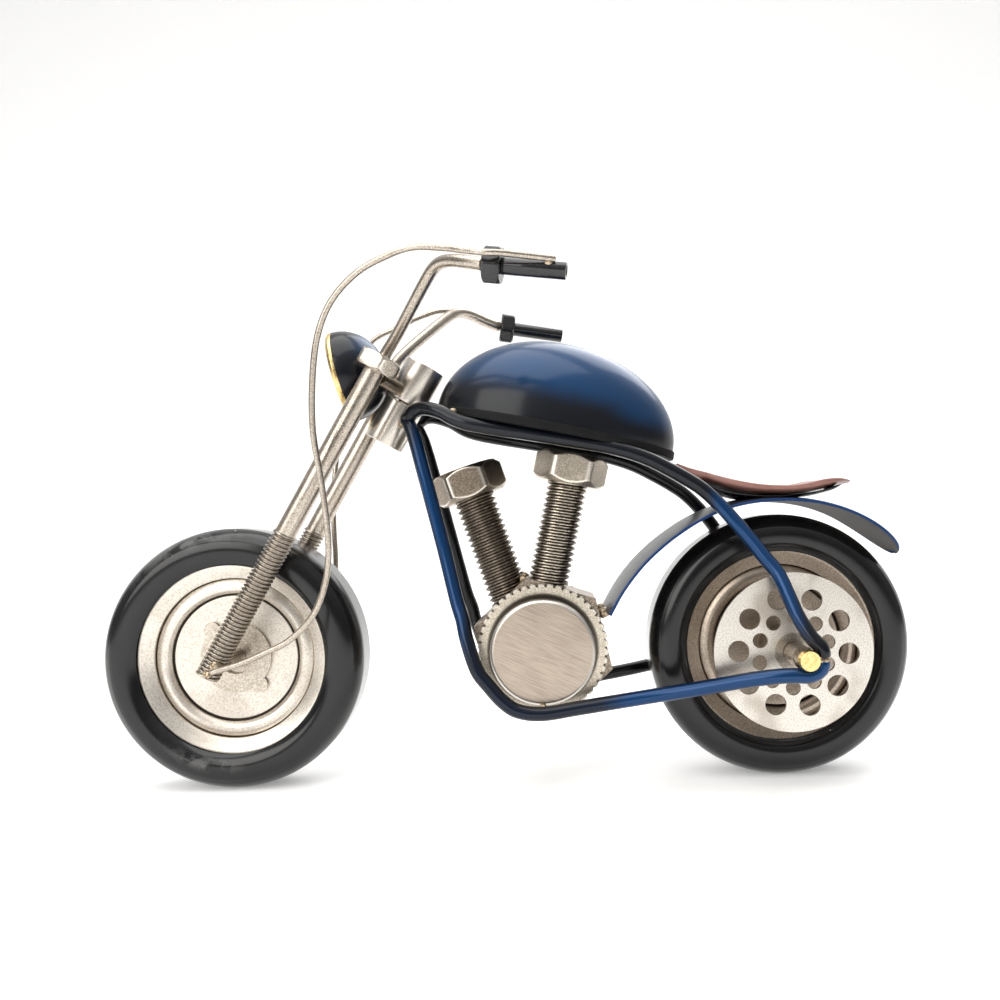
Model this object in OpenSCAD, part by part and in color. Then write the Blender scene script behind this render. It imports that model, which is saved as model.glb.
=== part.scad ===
// Desk model of a chopper motorcycle, welded from bolts, nuts, washers and bent rod.
// Millimetres. The front wheel points to -X, +Z is up, the rider's left is -Y.
// The origin lies on the ground, midway between the two axles.

/* [Wheels] */
// Distance between the two axles
wheelbase = 138.8; // [138:0.1:139.4]
// Radius of both tyres, which is also the height of both axles
tyre_r = 33; // [32.8:0.1:33.3]
// Half width of a tyre
tyre_half_w = 8.8; // [8.2:0.1:9.2]
// Half width of the flat tread that lets the model stand
tread_half_w = 4; // [3:0.5:5]
// Radius at which the tyre sits on the rim
rim_r = 24; // [23.8:0.1:24.2]
// Radius of the drilled brake discs
brake_disc_r = 19.1; // [18:0.1:19.6]
// Distance of a brake disc's middle from the centre plane
brake_disc_y = 18; // [16:0.5:19]

/* [Fork] */
// Rake of the fork and of the steering axis, from the vertical
rake = 30.2; // [30:0.1:30.4]
// Distance of a fork leg from the centre plane
leg_y = 13.8; // [13.4:0.1:14.4]
// Diameter of the fork bolts' plain shank
leg_shank_d = 5.2; // [5:0.1:5.6]
// Crest diameter of the fork bolts' thread
leg_thread_d = 6; // [5.8:0.1:6]
// Length of the fork bolts under the head
leg_len = 85; // [84:0.5:86]
// Threaded length of the fork bolts
leg_thread_len = 39; // [34:1:42]
// Distance across the flats of the fork bolts' heads
leg_head_af = 10; // [9.5:0.1:10]
// Diameter of the upper can, which turns
cap_d = 10.6; // [10.4:0.1:10.8]
// Diameter of the head tube, which stays
head_tube_d = 10.2; // [10:0.1:10.6]
// Diameter of the steering pin
pin_d = 4; // [3.5:0.1:4.5]

/* [Frame] */
// Diameter of the frame rod
rod_d = 3.5; // [3.4:0.1:3.6]
// Half length of the rear axle
rear_axle_half = 32; // [31.5:0.1:32.4]
// Diameter of the rear axle
rear_axle_d = 4; // [3.9:0.1:4]

/* [Engine] */
// Distance across the flats of the crankcase nut
core_af = 31.5; // [31:0.5:32]
// Radius of the serrated washers
washer_r = 16.3; // [16:0.1:16.6]
// Radius of the round slugs
slug_r = 12.9; // [12.4:0.1:13]
// Crest diameter of the cylinder bolts
cylinder_d = 10.6; // [10:0.1:10.8]
// Distance across the flats of the cylinder bolts' heads
cylinder_head_af = 17; // [16:0.5:17]

/* [Bodywork] */
// Half width of the tank
tank_half_w = 19; // [18:0.2:19.4]
// Height of the tank's dome
tank_h = 22.2; // [21:0.1:23]
// Half width of the rear fender
fender_half_w = 13.8; // [13:0.1:14]
// Thickness of the rear fender
fender_t = 0.9; // [0.7:0.1:1.2]
// Half width of the seat
seat_half_w = 11.5; // [10:0.5:12]
// Diameter of the headlight
lamp_d = 23.4; // [23:0.1:23.6]

/* [Controls] */
// Diameter of the handlebars
bar_d = 3; // [2.8:0.1:3.2]
// Diameter of the grips
grip_d = 3.9; // [3.7:0.1:4]
// Diameter of the brake cables
cable_d = 1.5; // [1.2:0.1:1.6]

/* [Hidden] */
$fn = 64;
fine = 0.01;
run_gap = 0.05;
front_axle_at = [-wheelbase / 2, 0, tyre_r];
rear_axle_at = [wheelbase / 2, 0, tyre_r];

// Steering axis: a point in the gap between the two cans
gap_at = [-24.8, 0, 97.2];
can_gap = 0.5;
cap_len = 10.8;
head_tube_len = 11.5;
rivet_h = 1.2;
rivet_r = 3.4;
leg_top = [-29.9, leg_y, 103.7];
leg_head_h = 4;
leg_pitch = 1;
front_axle_d = 4.2;
front_axle_half = 12.4;

// Wheel parts
bush_r = 4.3;
bush_half = 2;
front_disc_r = 20.35;
groove_r = 16.1;
front_ear_r = 9.3;
rear_bush_r = 4.6;
rear_bush_half = brake_disc_y + 1;
disc_hole_phase = -2.5;

// Engine
engine_at = [9.4, 0, 34];
core_half_w = 8.5;
washer_half_w = 10;
slug_half_w = 16;
core_corner = 42;
serrations = 46;
front_bolt_head = [-8.8, 0, 76.1];
front_bolt_base = [2.1, 0, 43.3];
rear_bolt_head = [17.7, 0, 79.1];
rear_bolt_base = [10.2, 0, 46.1];
cylinder_pitch = 1.5;
cylinder_head_h = 7.8;

// Routes of the bent pieces on the rider's right, as X, Y and Z, mirrored for the left
top_rail_path = [
  [-24, 5.6, 92.6], [-22.6, 7.6, 93], [-21.1, 8.8, 94.2], [-18.6, 10.2, 94.6], [-14.4, 12.5, 93.4],
  [-7.9, 14.5, 90.2], [8.8, 15.5, 86.9], [22.6, 15.6, 84.3], [29.4, 15.7, 82.7], [35.6, 15.8, 80.5],
  [40.8, 15.9, 77.8], [46, 16, 74.7], [49.5, 16, 72.2], [53.1, 16.2, 68.6], [56.5, 17, 64.5],
  [59.8, 18.5, 60.1], [62.5, 20, 56.1], [65.2, 21.6, 52.2], [67, 24, 47], [68.5, 26, 42.4],
  [70.8, 28, 37.9], [72.7, 29, 35.6], [73.3, 29, 33]];
cradle_path = [
  [-24, 5.6, 92.6], [-22.9, 7.4, 91.2], [-21.7, 8.6, 88.4], [-20.6, 9.3, 84.6], [-19.3, 9.9, 79.4],
  [-17.4, 10.4, 71.8], [-14.4, 11, 59.4], [-11.5, 13, 47.1], [-10, 14.4, 42.3], [-9, 15.6, 37.6],
  [-6.6, 17.2, 30.5], [-3.7, 17.8, 26.6], [-0.4, 18.2, 22.9], [3.2, 18.4, 20.6], [9, 18.4, 19.85],
  [18, 18.4, 21.05], [34.6, 19.6, 23.6], [45.5, 22.2, 25.6], [55.3, 26, 27.9], [62, 28.2, 29.1],
  [66.2, 29, 29.4], [70, 29, 29.3], [72.5, 29, 30.6], [73.3, 29, 33]];
bar_path = [
  [-29.6, 7.2, 106], [-28, 7.4, 109.3], [-24.6, 10, 113.5], [-20.3, 15, 118.6], [-16.3, 20, 123.2],
  [-13.9, 23, 125.5], [-11.7, 25.5, 126.3], [-9, 28, 126], [-5.1, 31, 124.7], [-1.2, 33, 123.5],
  [17, 35.2, 120.9]];
left_cable_path = [
  [14.7, 36.6, 123.2], [3.8, 38.4, 124.2], [-0.9, 39, 124.4], [-5.6, 36.9, 125.6], [-9.7, 34.5, 126.9],
  [-17.5, 31, 128.3], [-24, 30, 126.6], [-30.6, 29, 123.4], [-36.8, 27.5, 117.6], [-40.5, 26.5, 109.6],
  [-42.3, 25, 99.3], [-42.8, 23.5, 88], [-41.6, 22, 77], [-40.6, 21, 65], [-40.9, 20.4, 57],
  [-42.6, 19.9, 50], [-45.7, 19.5, 44], [-51.2, 19, 38.9], [-57.2, 18.5, 36.1], [-63, 17.9, 33.7],
  [-71, 16.6, 31.4]];
right_cable_path = [
  [14.7, 36.6, 123.2], [3.8, 38.4, 124.2], [-0.9, 39, 124.4], [-5.6, 36.9, 125.6], [-9.7, 34.5, 126.9],
  [-17.5, 31, 128.3], [-24, 30, 126.6], [-30.6, 29, 123.4], [-38.4, 29, 119.6], [-42.5, 27.5, 112],
  [-45.5, 26, 102], [-48, 24.5, 90], [-49.3, 23, 78], [-49.5, 22, 66.7], [-49, 21, 54.8],
  [-49.8, 20.4, 47], [-53, 19.8, 40.5], [-58.5, 19, 36.6], [-64.5, 18, 33.9], [-71, 16.6, 31.4]];

// Middle line of the fender from the crankcase to the tail's tip, as X and Z
fender_line = [
  [25.6, 42.6], [29, 48.4], [33.4, 54], [38, 58.4], [43, 62.2], [49, 65.8], [56, 68.6],
  [63, 69.9], [70, 70.2], [77, 69.6], [83.6, 68], [89.6, 65.4], [95, 61.9], [99.3, 58.2],
  [101.6, 55.4]];

// Seat: distance along, half width share, upper line and lower line
seat_line = [
  [45, 0.25, 79.9, 78.6], [48, 0.45, 78.6, 76.6], [52, 0.65, 77.3, 75], [56.2, 0.8, 75.9, 73.5],
  [60.3, 0.92, 74.8, 72.4], [64.4, 0.98, 74, 71.8], [68.5, 1, 73.6, 71.6], [72.7, 1, 73.5, 71.6],
  [76.8, 0.97, 74.1, 71.9], [81, 0.85, 74.9, 72.7], [85.6, 0.6, 75, 73.4], [89.5, 0.2, 74.4, 73.8]];
seat_dish = 0.8;
// Plate under the seat: distance along, upper line and lower line
seat_base_line = [
  [50, 75.2, 75], [53.9, 73.5, 72.4], [57.3, 72.1, 71.5], [61, 71.6, 70.8], [66, 71, 70.4],
  [71, 70.9, 70.4], [74.7, 71.2, 70.9], [78.8, 71.7, 71.2], [82.9, 72.6, 71.9], [85, 73.2, 73]];
seat_base_half_w = 9;

// Tank
tank_at = [-16.4, 0, 96];
tank_pitch = 12.3;
tank_front = 29.3;
tank_rear = 32.8;
tank_wall = 1.2;
tank_base_t = 2.2;

// Headlight: the middle of its rim, and how far it looks down
lamp_at = [-40.1, 0, 104.6];
lamp_dip = 14;
lamp_depth = 10.8;
lamp_wall = 0.8;
lens_h = 2.6;

steel = [0.72, 0.68, 0.62];
dark_steel = [0.42, 0.38, 0.34];
champagne = [0.82, 0.76, 0.66];
brass = [0.9, 0.72, 0.3];
black_gloss = [0.06, 0.06, 0.07];
rod_blue = [0.05, 0.12, 0.28];
tank_blue = [0.06, 0.14, 0.3];
seat_brown = [0.42, 0.2, 0.17];
tyre_black = [0.08, 0.08, 0.08];
rim_bronze = [0.55, 0.48, 0.4];

// ---- shared geometry ----

function unit(v) = v / norm(v);

// Point at share t between q1 and q2 on the smooth curve through q0, q1, q2 and q3
function curve_point(q0, q1, q2, q3, t) =
  0.5 * (2 * q1 + (q2 - q0) * t + (2 * q0 - 5 * q1 + 4 * q2 - q3) * t * t
  + (3 * q1 - q0 - 3 * q2 + q3) * t * t * t);
function smooth_path(p, parts) =
  let (last = len(p) - 1)
  [for (i = [0 : last - 1], k = [0 : parts - 1])
    curve_point(p[max(i - 1, 0)], p[i], p[i + 1], p[min(i + 2, last)], k / parts), p[last]];

function path_tangent(p, i) = unit(p[min(i + 1, len(p) - 1)] - p[max(i - 1, 0)]);
function ring_points(c, t, r, n) =
  let (s = unit(cross(t, [0, 1, 0])), w = cross(s, t))
  [for (k = [0 : n - 1]) c + r * (cos(360 * k / n) * s + sin(360 * k / n) * w)];

// A round rod along a path
module rod_along(path, r, n) {
  m = len(path);
  points = [for (i = [0 : m - 1]) each ring_points(path[i], path_tangent(path, i), r, n)];
  sides = [for (i = [0 : m - 2], k = [0 : n - 1])
    [i * n + k, i * n + (k + 1) % n, (i + 1) * n + (k + 1) % n, (i + 1) * n + k]];
  first = [for (k = [n - 1 : -1 : 0]) k];
  last = [for (k = [0 : n - 1]) (m - 1) * n + k];
  polyhedron(points, concat([first], sides, [last]), convexity = 10);
}

// A closed sheet between two grids of points with the same rows and columns
module sheet_between(upper, lower) {
  rows = len(upper);
  cols = len(upper[0]);
  half = rows * cols;
  points = concat([for (r = upper) each r], [for (r = lower) each r]);
  top = [for (i = [0 : rows - 2], j = [0 : cols - 2])
    [i * cols + j, i * cols + j + 1, (i + 1) * cols + j + 1, (i + 1) * cols + j]];
  bottom = [for (f = top) [for (k = [3 : -1 : 0]) f[k] + half]];
  rim = concat(
    [for (j = [0 : cols - 2]) [j + 1, j, j + half, j + 1 + half]],
    [for (j = [0 : cols - 2]) let (e = (rows - 1) * cols + j) [e, e + 1, e + 1 + half, e + half]],
    [for (i = [0 : rows - 2]) [i * cols, (i + 1) * cols, (i + 1) * cols + half, i * cols + half]],
    [for (i = [0 : rows - 2]) let (e = i * cols + cols - 1)
      [e + cols, e, e + half, e + cols + half]]);
  polyhedron(points, concat(top, bottom, rim), convexity = 10);
}

// Puts a piece drawn up +Z from the origin at p, pointing to q
module from_to(p, q) {
  d = unit(q - p);
  translate(p) rotate([0, acos(d[2]), atan2(d[1], d[0])]) children();
}
module on_side(side) {
  if (side > 0) children();
  else mirror([0, 1, 0]) children();
}
module across(at) {
  translate(at) rotate([90, 0, 0]) children();
}
// The frame of the steering axis: +Z up the fork, +X to the rear of it
module on_steering() {
  translate(gap_at) rotate([0, rake, 0]) children();
}
module ring_across(at, r_out, r_in, y0, y1) {
  across([at[0], y1, at[2]]) difference() {
    cylinder(r = r_out, h = y1 - y0);
    translate([0, 0, -1]) cylinder(r = r_in, h = y1 - y0 + 2);
  }
}
// A hex with rounded corners at both ends, as a bolt's head has
module hex_block(af, h, chamfer) {
  e = af / cos(30);
  intersection() {
    cylinder(d = e, h = h, $fn = 6);
    rotate_extrude($fn = 64) polygon([
      [0, 0], [af / 2 * 0.96, 0], [e / 2 + fine, chamfer], [e / 2 + fine, h - chamfer],
      [af / 2 * 0.96, h], [0, h]]);
  }
}
// A bolt's thread as a stack of ridges, from z = 0 up
module ridged_rod(d, len, pitch) {
  turns = floor(len / pitch);
  root = d / 2 - 0.55 * pitch;
  rotate_extrude($fn = 48) polygon(concat(
    [[0, 0], [root, 0]],
    [for (k = [0 : turns - 1]) each [[d / 2, (k + 0.4) * pitch], [d / 2, (k + 0.6) * pitch],
      [root, (k + 1) * pitch]]],
    [[root, len], [0, len]]));
}

// ---- frame ----

module top_rail(side) {
  color(rod_blue) on_side(side) rod_along(smooth_path(top_rail_path, 2), rod_d / 2, 12);
}
module cradle_rail(side) {
  color(rod_blue) on_side(side) rod_along(smooth_path(cradle_path, 2), rod_d / 2, 12);
}
module head_tube() {
  color(steel) on_steering() difference() {
    translate([0, 0, -can_gap / 2 - head_tube_len]) cylinder(d = head_tube_d, h = head_tube_len);
    translate([0, 0, -head_tube_len - 2]) cylinder(d = pin_d + 2 * run_gap, h = head_tube_len + 4);
    translate([0, 0, -can_gap / 2 - head_tube_len - 1])
      cylinder(r = rivet_r + 0.2, h = 1 + rivet_h + 0.3);
  }
}
module rear_axle() {
  color(steel) across([rear_axle_at[0], rear_axle_half - 1.2, rear_axle_at[2]])
    cylinder(d = rear_axle_d, h = 2 * rear_axle_half - 2.4);
}
module rear_axle_end(side) {
  color(brass) on_side(side) across([rear_axle_at[0], rear_axle_half, rear_axle_at[2]])
    cylinder(d1 = rear_axle_d + 0.5, d2 = rear_axle_d + 1.1, h = 1.2);
}
module rear_sleeve(side) {
  color(steel) on_side(side)
    ring_across(rear_axle_at, rear_axle_d / 2 + 0.65, rear_axle_d / 2, rear_bush_half + 0.4, 27);
}

// ---- bodywork ----

module on_tank() {
  translate(tank_at) rotate([0, tank_pitch, 0]) children();
}
// Half an egg, shrunk by inset, with its widest place at x = tank_front
module half_egg(inset) {
  around = 40;
  rise = 10;
  function reach(a) = (cos(a) < 0 ? tank_front : tank_rear) - inset;
  function at(a, e) = [tank_front + reach(a) * cos(a) * cos(e),
    (tank_half_w - inset) * sin(a) * cos(e), (tank_h - inset) * sin(e)];
  points = concat(
    [for (j = [0 : rise - 1], i = [0 : around - 1]) at(360 * i / around, 90 * j / rise)],
    [[tank_front, 0, tank_h - inset]]);
  walls = [for (j = [0 : rise - 2], i = [0 : around - 1])
    [j * around + i, (j + 1) * around + i, (j + 1) * around + (i + 1) % around,
      j * around + (i + 1) % around]];
  crown = [for (i = [0 : around - 1])
    [(rise - 1) * around + i, rise * around, (rise - 1) * around + (i + 1) % around]];
  polyhedron(points, concat([[for (i = [0 : around - 1]) i]], walls, crown), convexity = 4);
}
module egg_plan(grow) {
  polygon([for (a = [0 : 7.5 : 359]) [
    tank_front + ((cos(a) < 0 ? tank_front : tank_rear) + grow) * cos(a),
    (tank_half_w + grow) * sin(a)]]);
}
module tank_shell() {
  color(tank_blue) on_tank() difference() {
    half_egg(0);
    translate([0, 0, -fine]) half_egg(tank_wall);
  }
}
module tank_base() {
  color(black_gloss) on_tank() translate([0, 0, -tank_base_t]) linear_extrude(tank_base_t)
    egg_plan(0.5);
}

module seat_pan() {
  cols = 9;
  function share(j) = 2 * j / (cols - 1) - 1;
  function row(s, z, dish, edge) = [for (j = [0 : cols - 1])
    let (u = share(j)) [s[0], u * seat_half_w * s[1] , z - dish * (1 - u * u) + edge * u * u]];
  color(seat_brown) sheet_between(
    [for (s = seat_line) row(s, s[2], seat_dish * s[1], 0)],
    [for (s = seat_line) row(s, s[3], seat_dish * s[1], 0.6)]);
}
module seat_base() {
  cols = 5;
  function row(p, z) = [for (j = [0 : cols - 1])
    let (u = 2 * j / (cols - 1) - 1) [p[0], u * seat_base_half_w, z - seat_dish * (1 - u * u)]];
  color(black_gloss) sheet_between(
    [for (p = seat_base_line) row(p, p[1])], [for (p = seat_base_line) row(p, p[2])]);
}
function fender_share(i) =
  let (left = norm(fender_points[len(fender_points) - 1] - fender_points[i]))
  left < fender_half_w ? sqrt(1 - pow(1 - left / fender_half_w, 2)) : 1;
fender_points = smooth_path(fender_line, 2);
function fender_normal(i) = let (t = path_tangent(fender_points, i)) [-t[1], t[0]];
module rear_fender() {
  cols = 7;
  last = len(fender_points) - 1;
  function row(i, up) = let (p = fender_points[i], n = fender_normal(i),
    w = fender_half_w * max(fender_share(i), 0.12) * (i > last / 2 ? 0.9 : 1))
    [for (j = [0 : cols - 1]) let (u = 2 * j / (cols - 1) - 1, droop = up - 0.6 * u * u)
      [p[0] + n[0] * droop, u * w, p[1] + n[1] * droop]];
  color(tank_blue) sheet_between(
    [for (i = [0 : last]) row(i, fender_t / 2)], [for (i = [0 : last]) row(i, -fender_t / 2)]);
}

// ---- engine ----

module core_hex(grow, half_w) {
  across([engine_at[0], half_w, engine_at[2]]) rotate([0, 0, core_corner])
    cylinder(d = (core_af + grow) / cos(30), h = 2 * half_w, $fn = 6);
}
module crankcase_nut() {
  color(steel) core_hex(0, core_half_w);
}
module serrated_washer(side) {
  step = 360 / serrations;
  color(champagne) on_side(side) across([engine_at[0], washer_half_w, engine_at[2]])
    linear_extrude(washer_half_w - core_half_w) polygon([for (k = [0 : serrations - 1])
      each [for (s = [[0, -0.6], [0.25, -0.1], [0.5, 0], [0.75, -0.1]])
        let (a = (k + s[0]) * step, r = washer_r + s[1]) [r * cos(a), r * sin(a)]]]);
}
module crankcase_slug(side) {
  rim = 0.7;
  color(champagne) on_side(side) across([engine_at[0], slug_half_w, engine_at[2]])
    rotate_extrude() polygon([[0, 0], [slug_r - rim, 0], [slug_r - 0.2, 0.2], [slug_r, rim],
      [slug_r, slug_half_w - washer_half_w], [0, slug_half_w - washer_half_w]]);
}
module cylinder_bolt(head, base) {
  shank = norm(head - base) - cylinder_head_h / 2;
  color(dark_steel) difference() {
    from_to(base, head) {
      ridged_rod(cylinder_d, shank, cylinder_pitch);
      translate([0, 0, shank])
        hex_block(cylinder_head_af, cylinder_head_h, 1.7);
    }
    core_hex(0, 12);
  }
}
module bead(at, r) {
  translate(at) sphere(r = r, $fn = 24);
}
module frame_weld_beads() {
  color(dark_steel) {
    bead([4.6, 0, 51.4], 1.7);
    for (s = [-1, 1]) {
      bead([4.8, s * 3.2, 51], 1.3);
      bead([25, s * 5, 42.2], 1.6);
      bead([9.2, s * 16, 20.8], 0.95);
      bead([-24.4, s * 5.4, 91.6], 1.4);
      bead([72.8, s * 29, 33], 1.9);
      bead([-11.2, s * 12.9, 92.7], 1.4);
    }
  }
}

// ---- steering ----

module steering_cap() {
  color(steel) on_steering() difference() {
    translate([0, 0, can_gap / 2]) cylinder(d = cap_d, h = cap_len);
    translate([0, 0, -1]) cylinder(d = pin_d, h = cap_len);
  }
}
module steering_pin() {
  color(dark_steel) on_steering() {
    translate([0, 0, -can_gap / 2 - head_tube_len]) cylinder(r = rivet_r, h = rivet_h);
    translate([0, 0, -can_gap / 2 - head_tube_len]) cylinder(d = pin_d, h = head_tube_len + cap_len - 1);
  }
}
leg_offset = 7.7;
crown_level = 2.3;
module crown_bar(side) {
  start = [-2.6, 4.6, crown_level];
  end = [-leg_offset + 1.6, leg_y - 2, crown_level];
  color(steel) on_side(side) on_steering() from_to(start, end)
    cylinder(d = 3.4, h = norm(end - start));
}
module fork_bolt(side) {
  color(steel) on_side(side) translate(leg_top) rotate([0, rake, 0]) {
    translate([0, 0, -leg_len + leg_thread_len - fine])
      cylinder(d = leg_shank_d, h = leg_len - leg_thread_len + fine);
    translate([0, 0, -leg_len]) ridged_rod(leg_thread_d, leg_thread_len, leg_pitch);
    rotate([0, 0, -49]) hex_block(leg_head_af, leg_head_h, 1);
  }
}
module handlebar(side) {
  bends = [for (i = [0 : len(bar_path) - 2]) bar_path[i]];
  color(steel) on_side(side) rod_along(smooth_path(bends, 3), bar_d / 2, 12);
}
grip_start = bar_path[len(bar_path) - 2];
grip_end = bar_path[len(bar_path) - 1];
nut_t = 4;
module grip_nut(side) {
  color(black_gloss) on_side(side) from_to(grip_start, grip_end) rotate([0, 0, 15])
    hex_block(8, nut_t, 0.7);
}
module grip(side) {
  d = unit(grip_end - grip_start);
  color(black_gloss) on_side(side) from_to(grip_start + nut_t * d, grip_end)
    cylinder(d = grip_d, h = norm(grip_end - grip_start) - nut_t);
}
module brake_cable(side, route) {
  color(steel) on_side(side) rod_along(smooth_path(route, 2), cable_d / 2, 8);
}
// The lamp's own frame: +Z looks along its axis to the back
module on_lamp() {
  translate(lamp_at) rotate([0, 90 - lamp_dip, 0]) children();
}
function bowl(r, depth) = [for (a = [0 : 7.5 : 90]) [r * cos(a), depth * sin(a)]];
module headlight_shell() {
  color(tank_blue) on_lamp() rotate_extrude() polygon(concat(
    bowl(lamp_d / 2, lamp_depth),
    [for (a = [90 : -7.5 : 0]) [(lamp_d / 2 - lamp_wall) * cos(a), (lamp_depth - lamp_wall) * sin(a)]]));
}
module headlight_lens() {
  r = lamp_d / 2 - lamp_wall;
  color([0.95, 0.75, 0.35]) on_lamp() rotate_extrude() polygon(concat(
    [[0, 1], [r - 0.3, 1], [r - 0.3, 0]],
    [for (a = [0 : 10 : 90]) [(r - 0.3) * cos(a), -lens_h * sin(a)]]));
}
module headlight_rim() {
  color(brass) on_lamp() rotate_extrude() polygon([
    [lamp_d / 2 - lamp_wall - 0.3, 0], [lamp_d / 2, 0], [lamp_d / 2 + 0.1, -0.6],
    [lamp_d / 2 - 0.4, -1.4], [lamp_d / 2 - lamp_wall - 0.3, -0.7]]);
}
module headlight_post() {
  color(dark_steel) on_steering() translate([-7.8, 0, 4.4]) rotate([0, 90, 0])
    cylinder(d = 3.6, h = 3);
}
module front_axle() {
  color(steel) across([front_axle_at[0], front_axle_half, front_axle_at[2]])
    cylinder(d = front_axle_d, h = 2 * front_axle_half);
}
module steering_weld_beads() {
  color(dark_steel) for (s = [-1, 1]) {
    bead([-70, s * 15.4, 32.6], 2);
    bead([-71.6, s * 16.6, 31], 1.2);
    bead([-29.6, s * 8, 107], 1.6);
    bead([13, s * 36, 122.6], 1.1);
  }
}

// ---- wheels ----

function sign_pow(v, p) = v < 0 ? -pow(-v, p) : pow(v, p);
module tyre(at) {
  mid_r = 27.6;
  swell = tyre_r - mid_r;
  flat_angle = asin(pow(tread_half_w / tyre_half_w, 1 / 0.85));
  round_up = 1 / pow(cos(flat_angle), 0.85);
  section = [for (a = [-128 : 8 : 128]) [
    mid_r + min(swell, round_up * swell * sign_pow(cos(a), 0.85)),
    tyre_half_w * sign_pow(sin(a), 0.85)]];
  color(tyre_black) across(at) rotate_extrude($fn = 96)
    polygon(concat([[rim_r, -6.6]], section, [[rim_r, 6.6]]));
}
module wheel_rim(at, tint) {
  inner = front_disc_r;
  color(tint) across(at) rotate_extrude($fn = 96) polygon([
    [inner, -4.4], [rim_r - 0.6, -6], [rim_r, -6.1], [rim_r, 6.1], [rim_r - 0.6, 6], [inner, 4.4]]);
}
// Face of a wheel: flat middle, groove, rounded band, and a second groove at its edge
module face_disc(at, side, tint) {
  color(tint) translate([at[0], 0, at[2]]) on_side(side) rotate([90, 0, 0]) mirror([0, 0, 1])
    rotate_extrude($fn = 96) polygon([
      [bush_r, 0], [bush_r, 2.2], [groove_r - 0.25, 2.8], [groove_r - 0.1, 2.2],
      [groove_r + 0.15, 2.2], [groove_r + 0.3, 3.2], [groove_r + 1, 4], [groove_r + 1.9, 4.3],
      [groove_r + 2.8, 4.1], [front_disc_r - 0.25, 3.5], [front_disc_r - 0.2, 2.6],
      [front_disc_r, 2.6], [front_disc_r, 0]]);
}
module eared_washer(side) {
  color(steel) translate([front_axle_at[0], 0, front_axle_at[2]]) on_side(side)
    rotate([90, 0, 0]) mirror([0, 0, 1]) translate([0, 0, 2.5]) difference() {
      union() {
        cylinder(r = 9, h = 0.9);
        for (a = [130, -50]) rotate([0, 0, a]) translate([front_ear_r, 0, 0])
          cylinder(r = 2, h = 0.9, $fn = 32);
      }
      translate([0, 0, -1]) cylinder(r = bush_r, h = 3);
    }
}
module brake_disc(side) {
  color(steel) translate([rear_axle_at[0], 0, rear_axle_at[2]]) on_side(side)
    rotate([90, 0, 0]) mirror([0, 0, 1]) translate([0, 0, brake_disc_y - 0.5]) difference() {
      cylinder(r = brake_disc_r, h = 1);
      translate([0, 0, -1]) cylinder(r = rear_bush_r, h = 3);
      for (k = [0 : 9]) {
        rotate([0, 0, 36 * k + disc_hole_phase]) translate([13.2, 0, -1])
          cylinder(d = 5.1, h = 3, $fn = 32);
        rotate([0, 0, 36 * k + 18 + disc_hole_phase]) translate([8.5, 0, -1])
          cylinder(d = 3.6, h = 3, $fn = 32);
      }
    }
}

top_rail(-1);  // top_rail_left
top_rail(1);  // top_rail_right
cradle_rail(-1);  // cradle_rail_left
cradle_rail(1);  // cradle_rail_right
head_tube();
tank_shell();
tank_base();
seat_pan();
seat_base();
rear_fender();
crankcase_nut();
serrated_washer(-1);  // serrated_washer_left
serrated_washer(1);  // serrated_washer_right
crankcase_slug(-1);  // crankcase_slug_left
crankcase_slug(1);  // crankcase_slug_right
cylinder_bolt(front_bolt_head, front_bolt_base);  // cylinder_bolt_front
cylinder_bolt(rear_bolt_head, rear_bolt_base);  // cylinder_bolt_rear
frame_weld_beads();
rear_axle();
rear_axle_end(-1);  // rear_axle_end_left
rear_axle_end(1);  // rear_axle_end_right
rear_sleeve(-1);  // rear_sleeve_left
rear_sleeve(1);  // rear_sleeve_right
steering_cap();
steering_pin();
crown_bar(-1);  // crown_bar_left
crown_bar(1);  // crown_bar_right
fork_bolt(-1);  // fork_bolt_left
fork_bolt(1);  // fork_bolt_right
handlebar(-1);  // handlebar_left
handlebar(1);  // handlebar_right
grip_nut(-1);  // grip_nut_left
grip_nut(1);  // grip_nut_right
grip(-1);  // grip_left
grip(1);  // grip_right
brake_cable(-1, left_cable_path);  // brake_cable_left
brake_cable(1, right_cable_path);  // brake_cable_right
headlight_shell();
headlight_lens();
headlight_rim();
headlight_post();
front_axle();
steering_weld_beads();
tyre(front_axle_at);  // front_tyre
wheel_rim(front_axle_at, steel);  // front_rim
face_disc(front_axle_at, -1, champagne);  // front_face_disc_left
face_disc(front_axle_at, 1, champagne);  // front_face_disc_right
eared_washer(-1);  // front_eared_washer_left
eared_washer(1);  // front_eared_washer_right
ring_across(front_axle_at, bush_r, front_axle_d / 2 + run_gap, -bush_half, bush_half);  // front_bush
tyre(rear_axle_at);  // rear_tyre
wheel_rim(rear_axle_at, rim_bronze);  // rear_rim
face_disc(rear_axle_at, -1, rim_bronze);  // rear_face_disc_left
face_disc(rear_axle_at, 1, rim_bronze);  // rear_face_disc_right
brake_disc(-1);  // brake_disc_left
brake_disc(1);  // brake_disc_right
ring_across(rear_axle_at, rear_bush_r, rear_axle_d / 2 + run_gap, -rear_bush_half, rear_bush_half);  // rear_bush
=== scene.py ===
# %% [markdown]
# # A desk chopper welded from bolts, nuts and bent rod
# This lesson dresses a finished frame of parts as the little sculpture really looks: speckled
# nickel-grey steel, blue paint that fades to black, and satin black tyres. The frame gives the
# places and the joints. We make finer surfaces for the pieces that the eye reads first, let
# each one ride on its body, and mix every finish from nodes.

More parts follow.
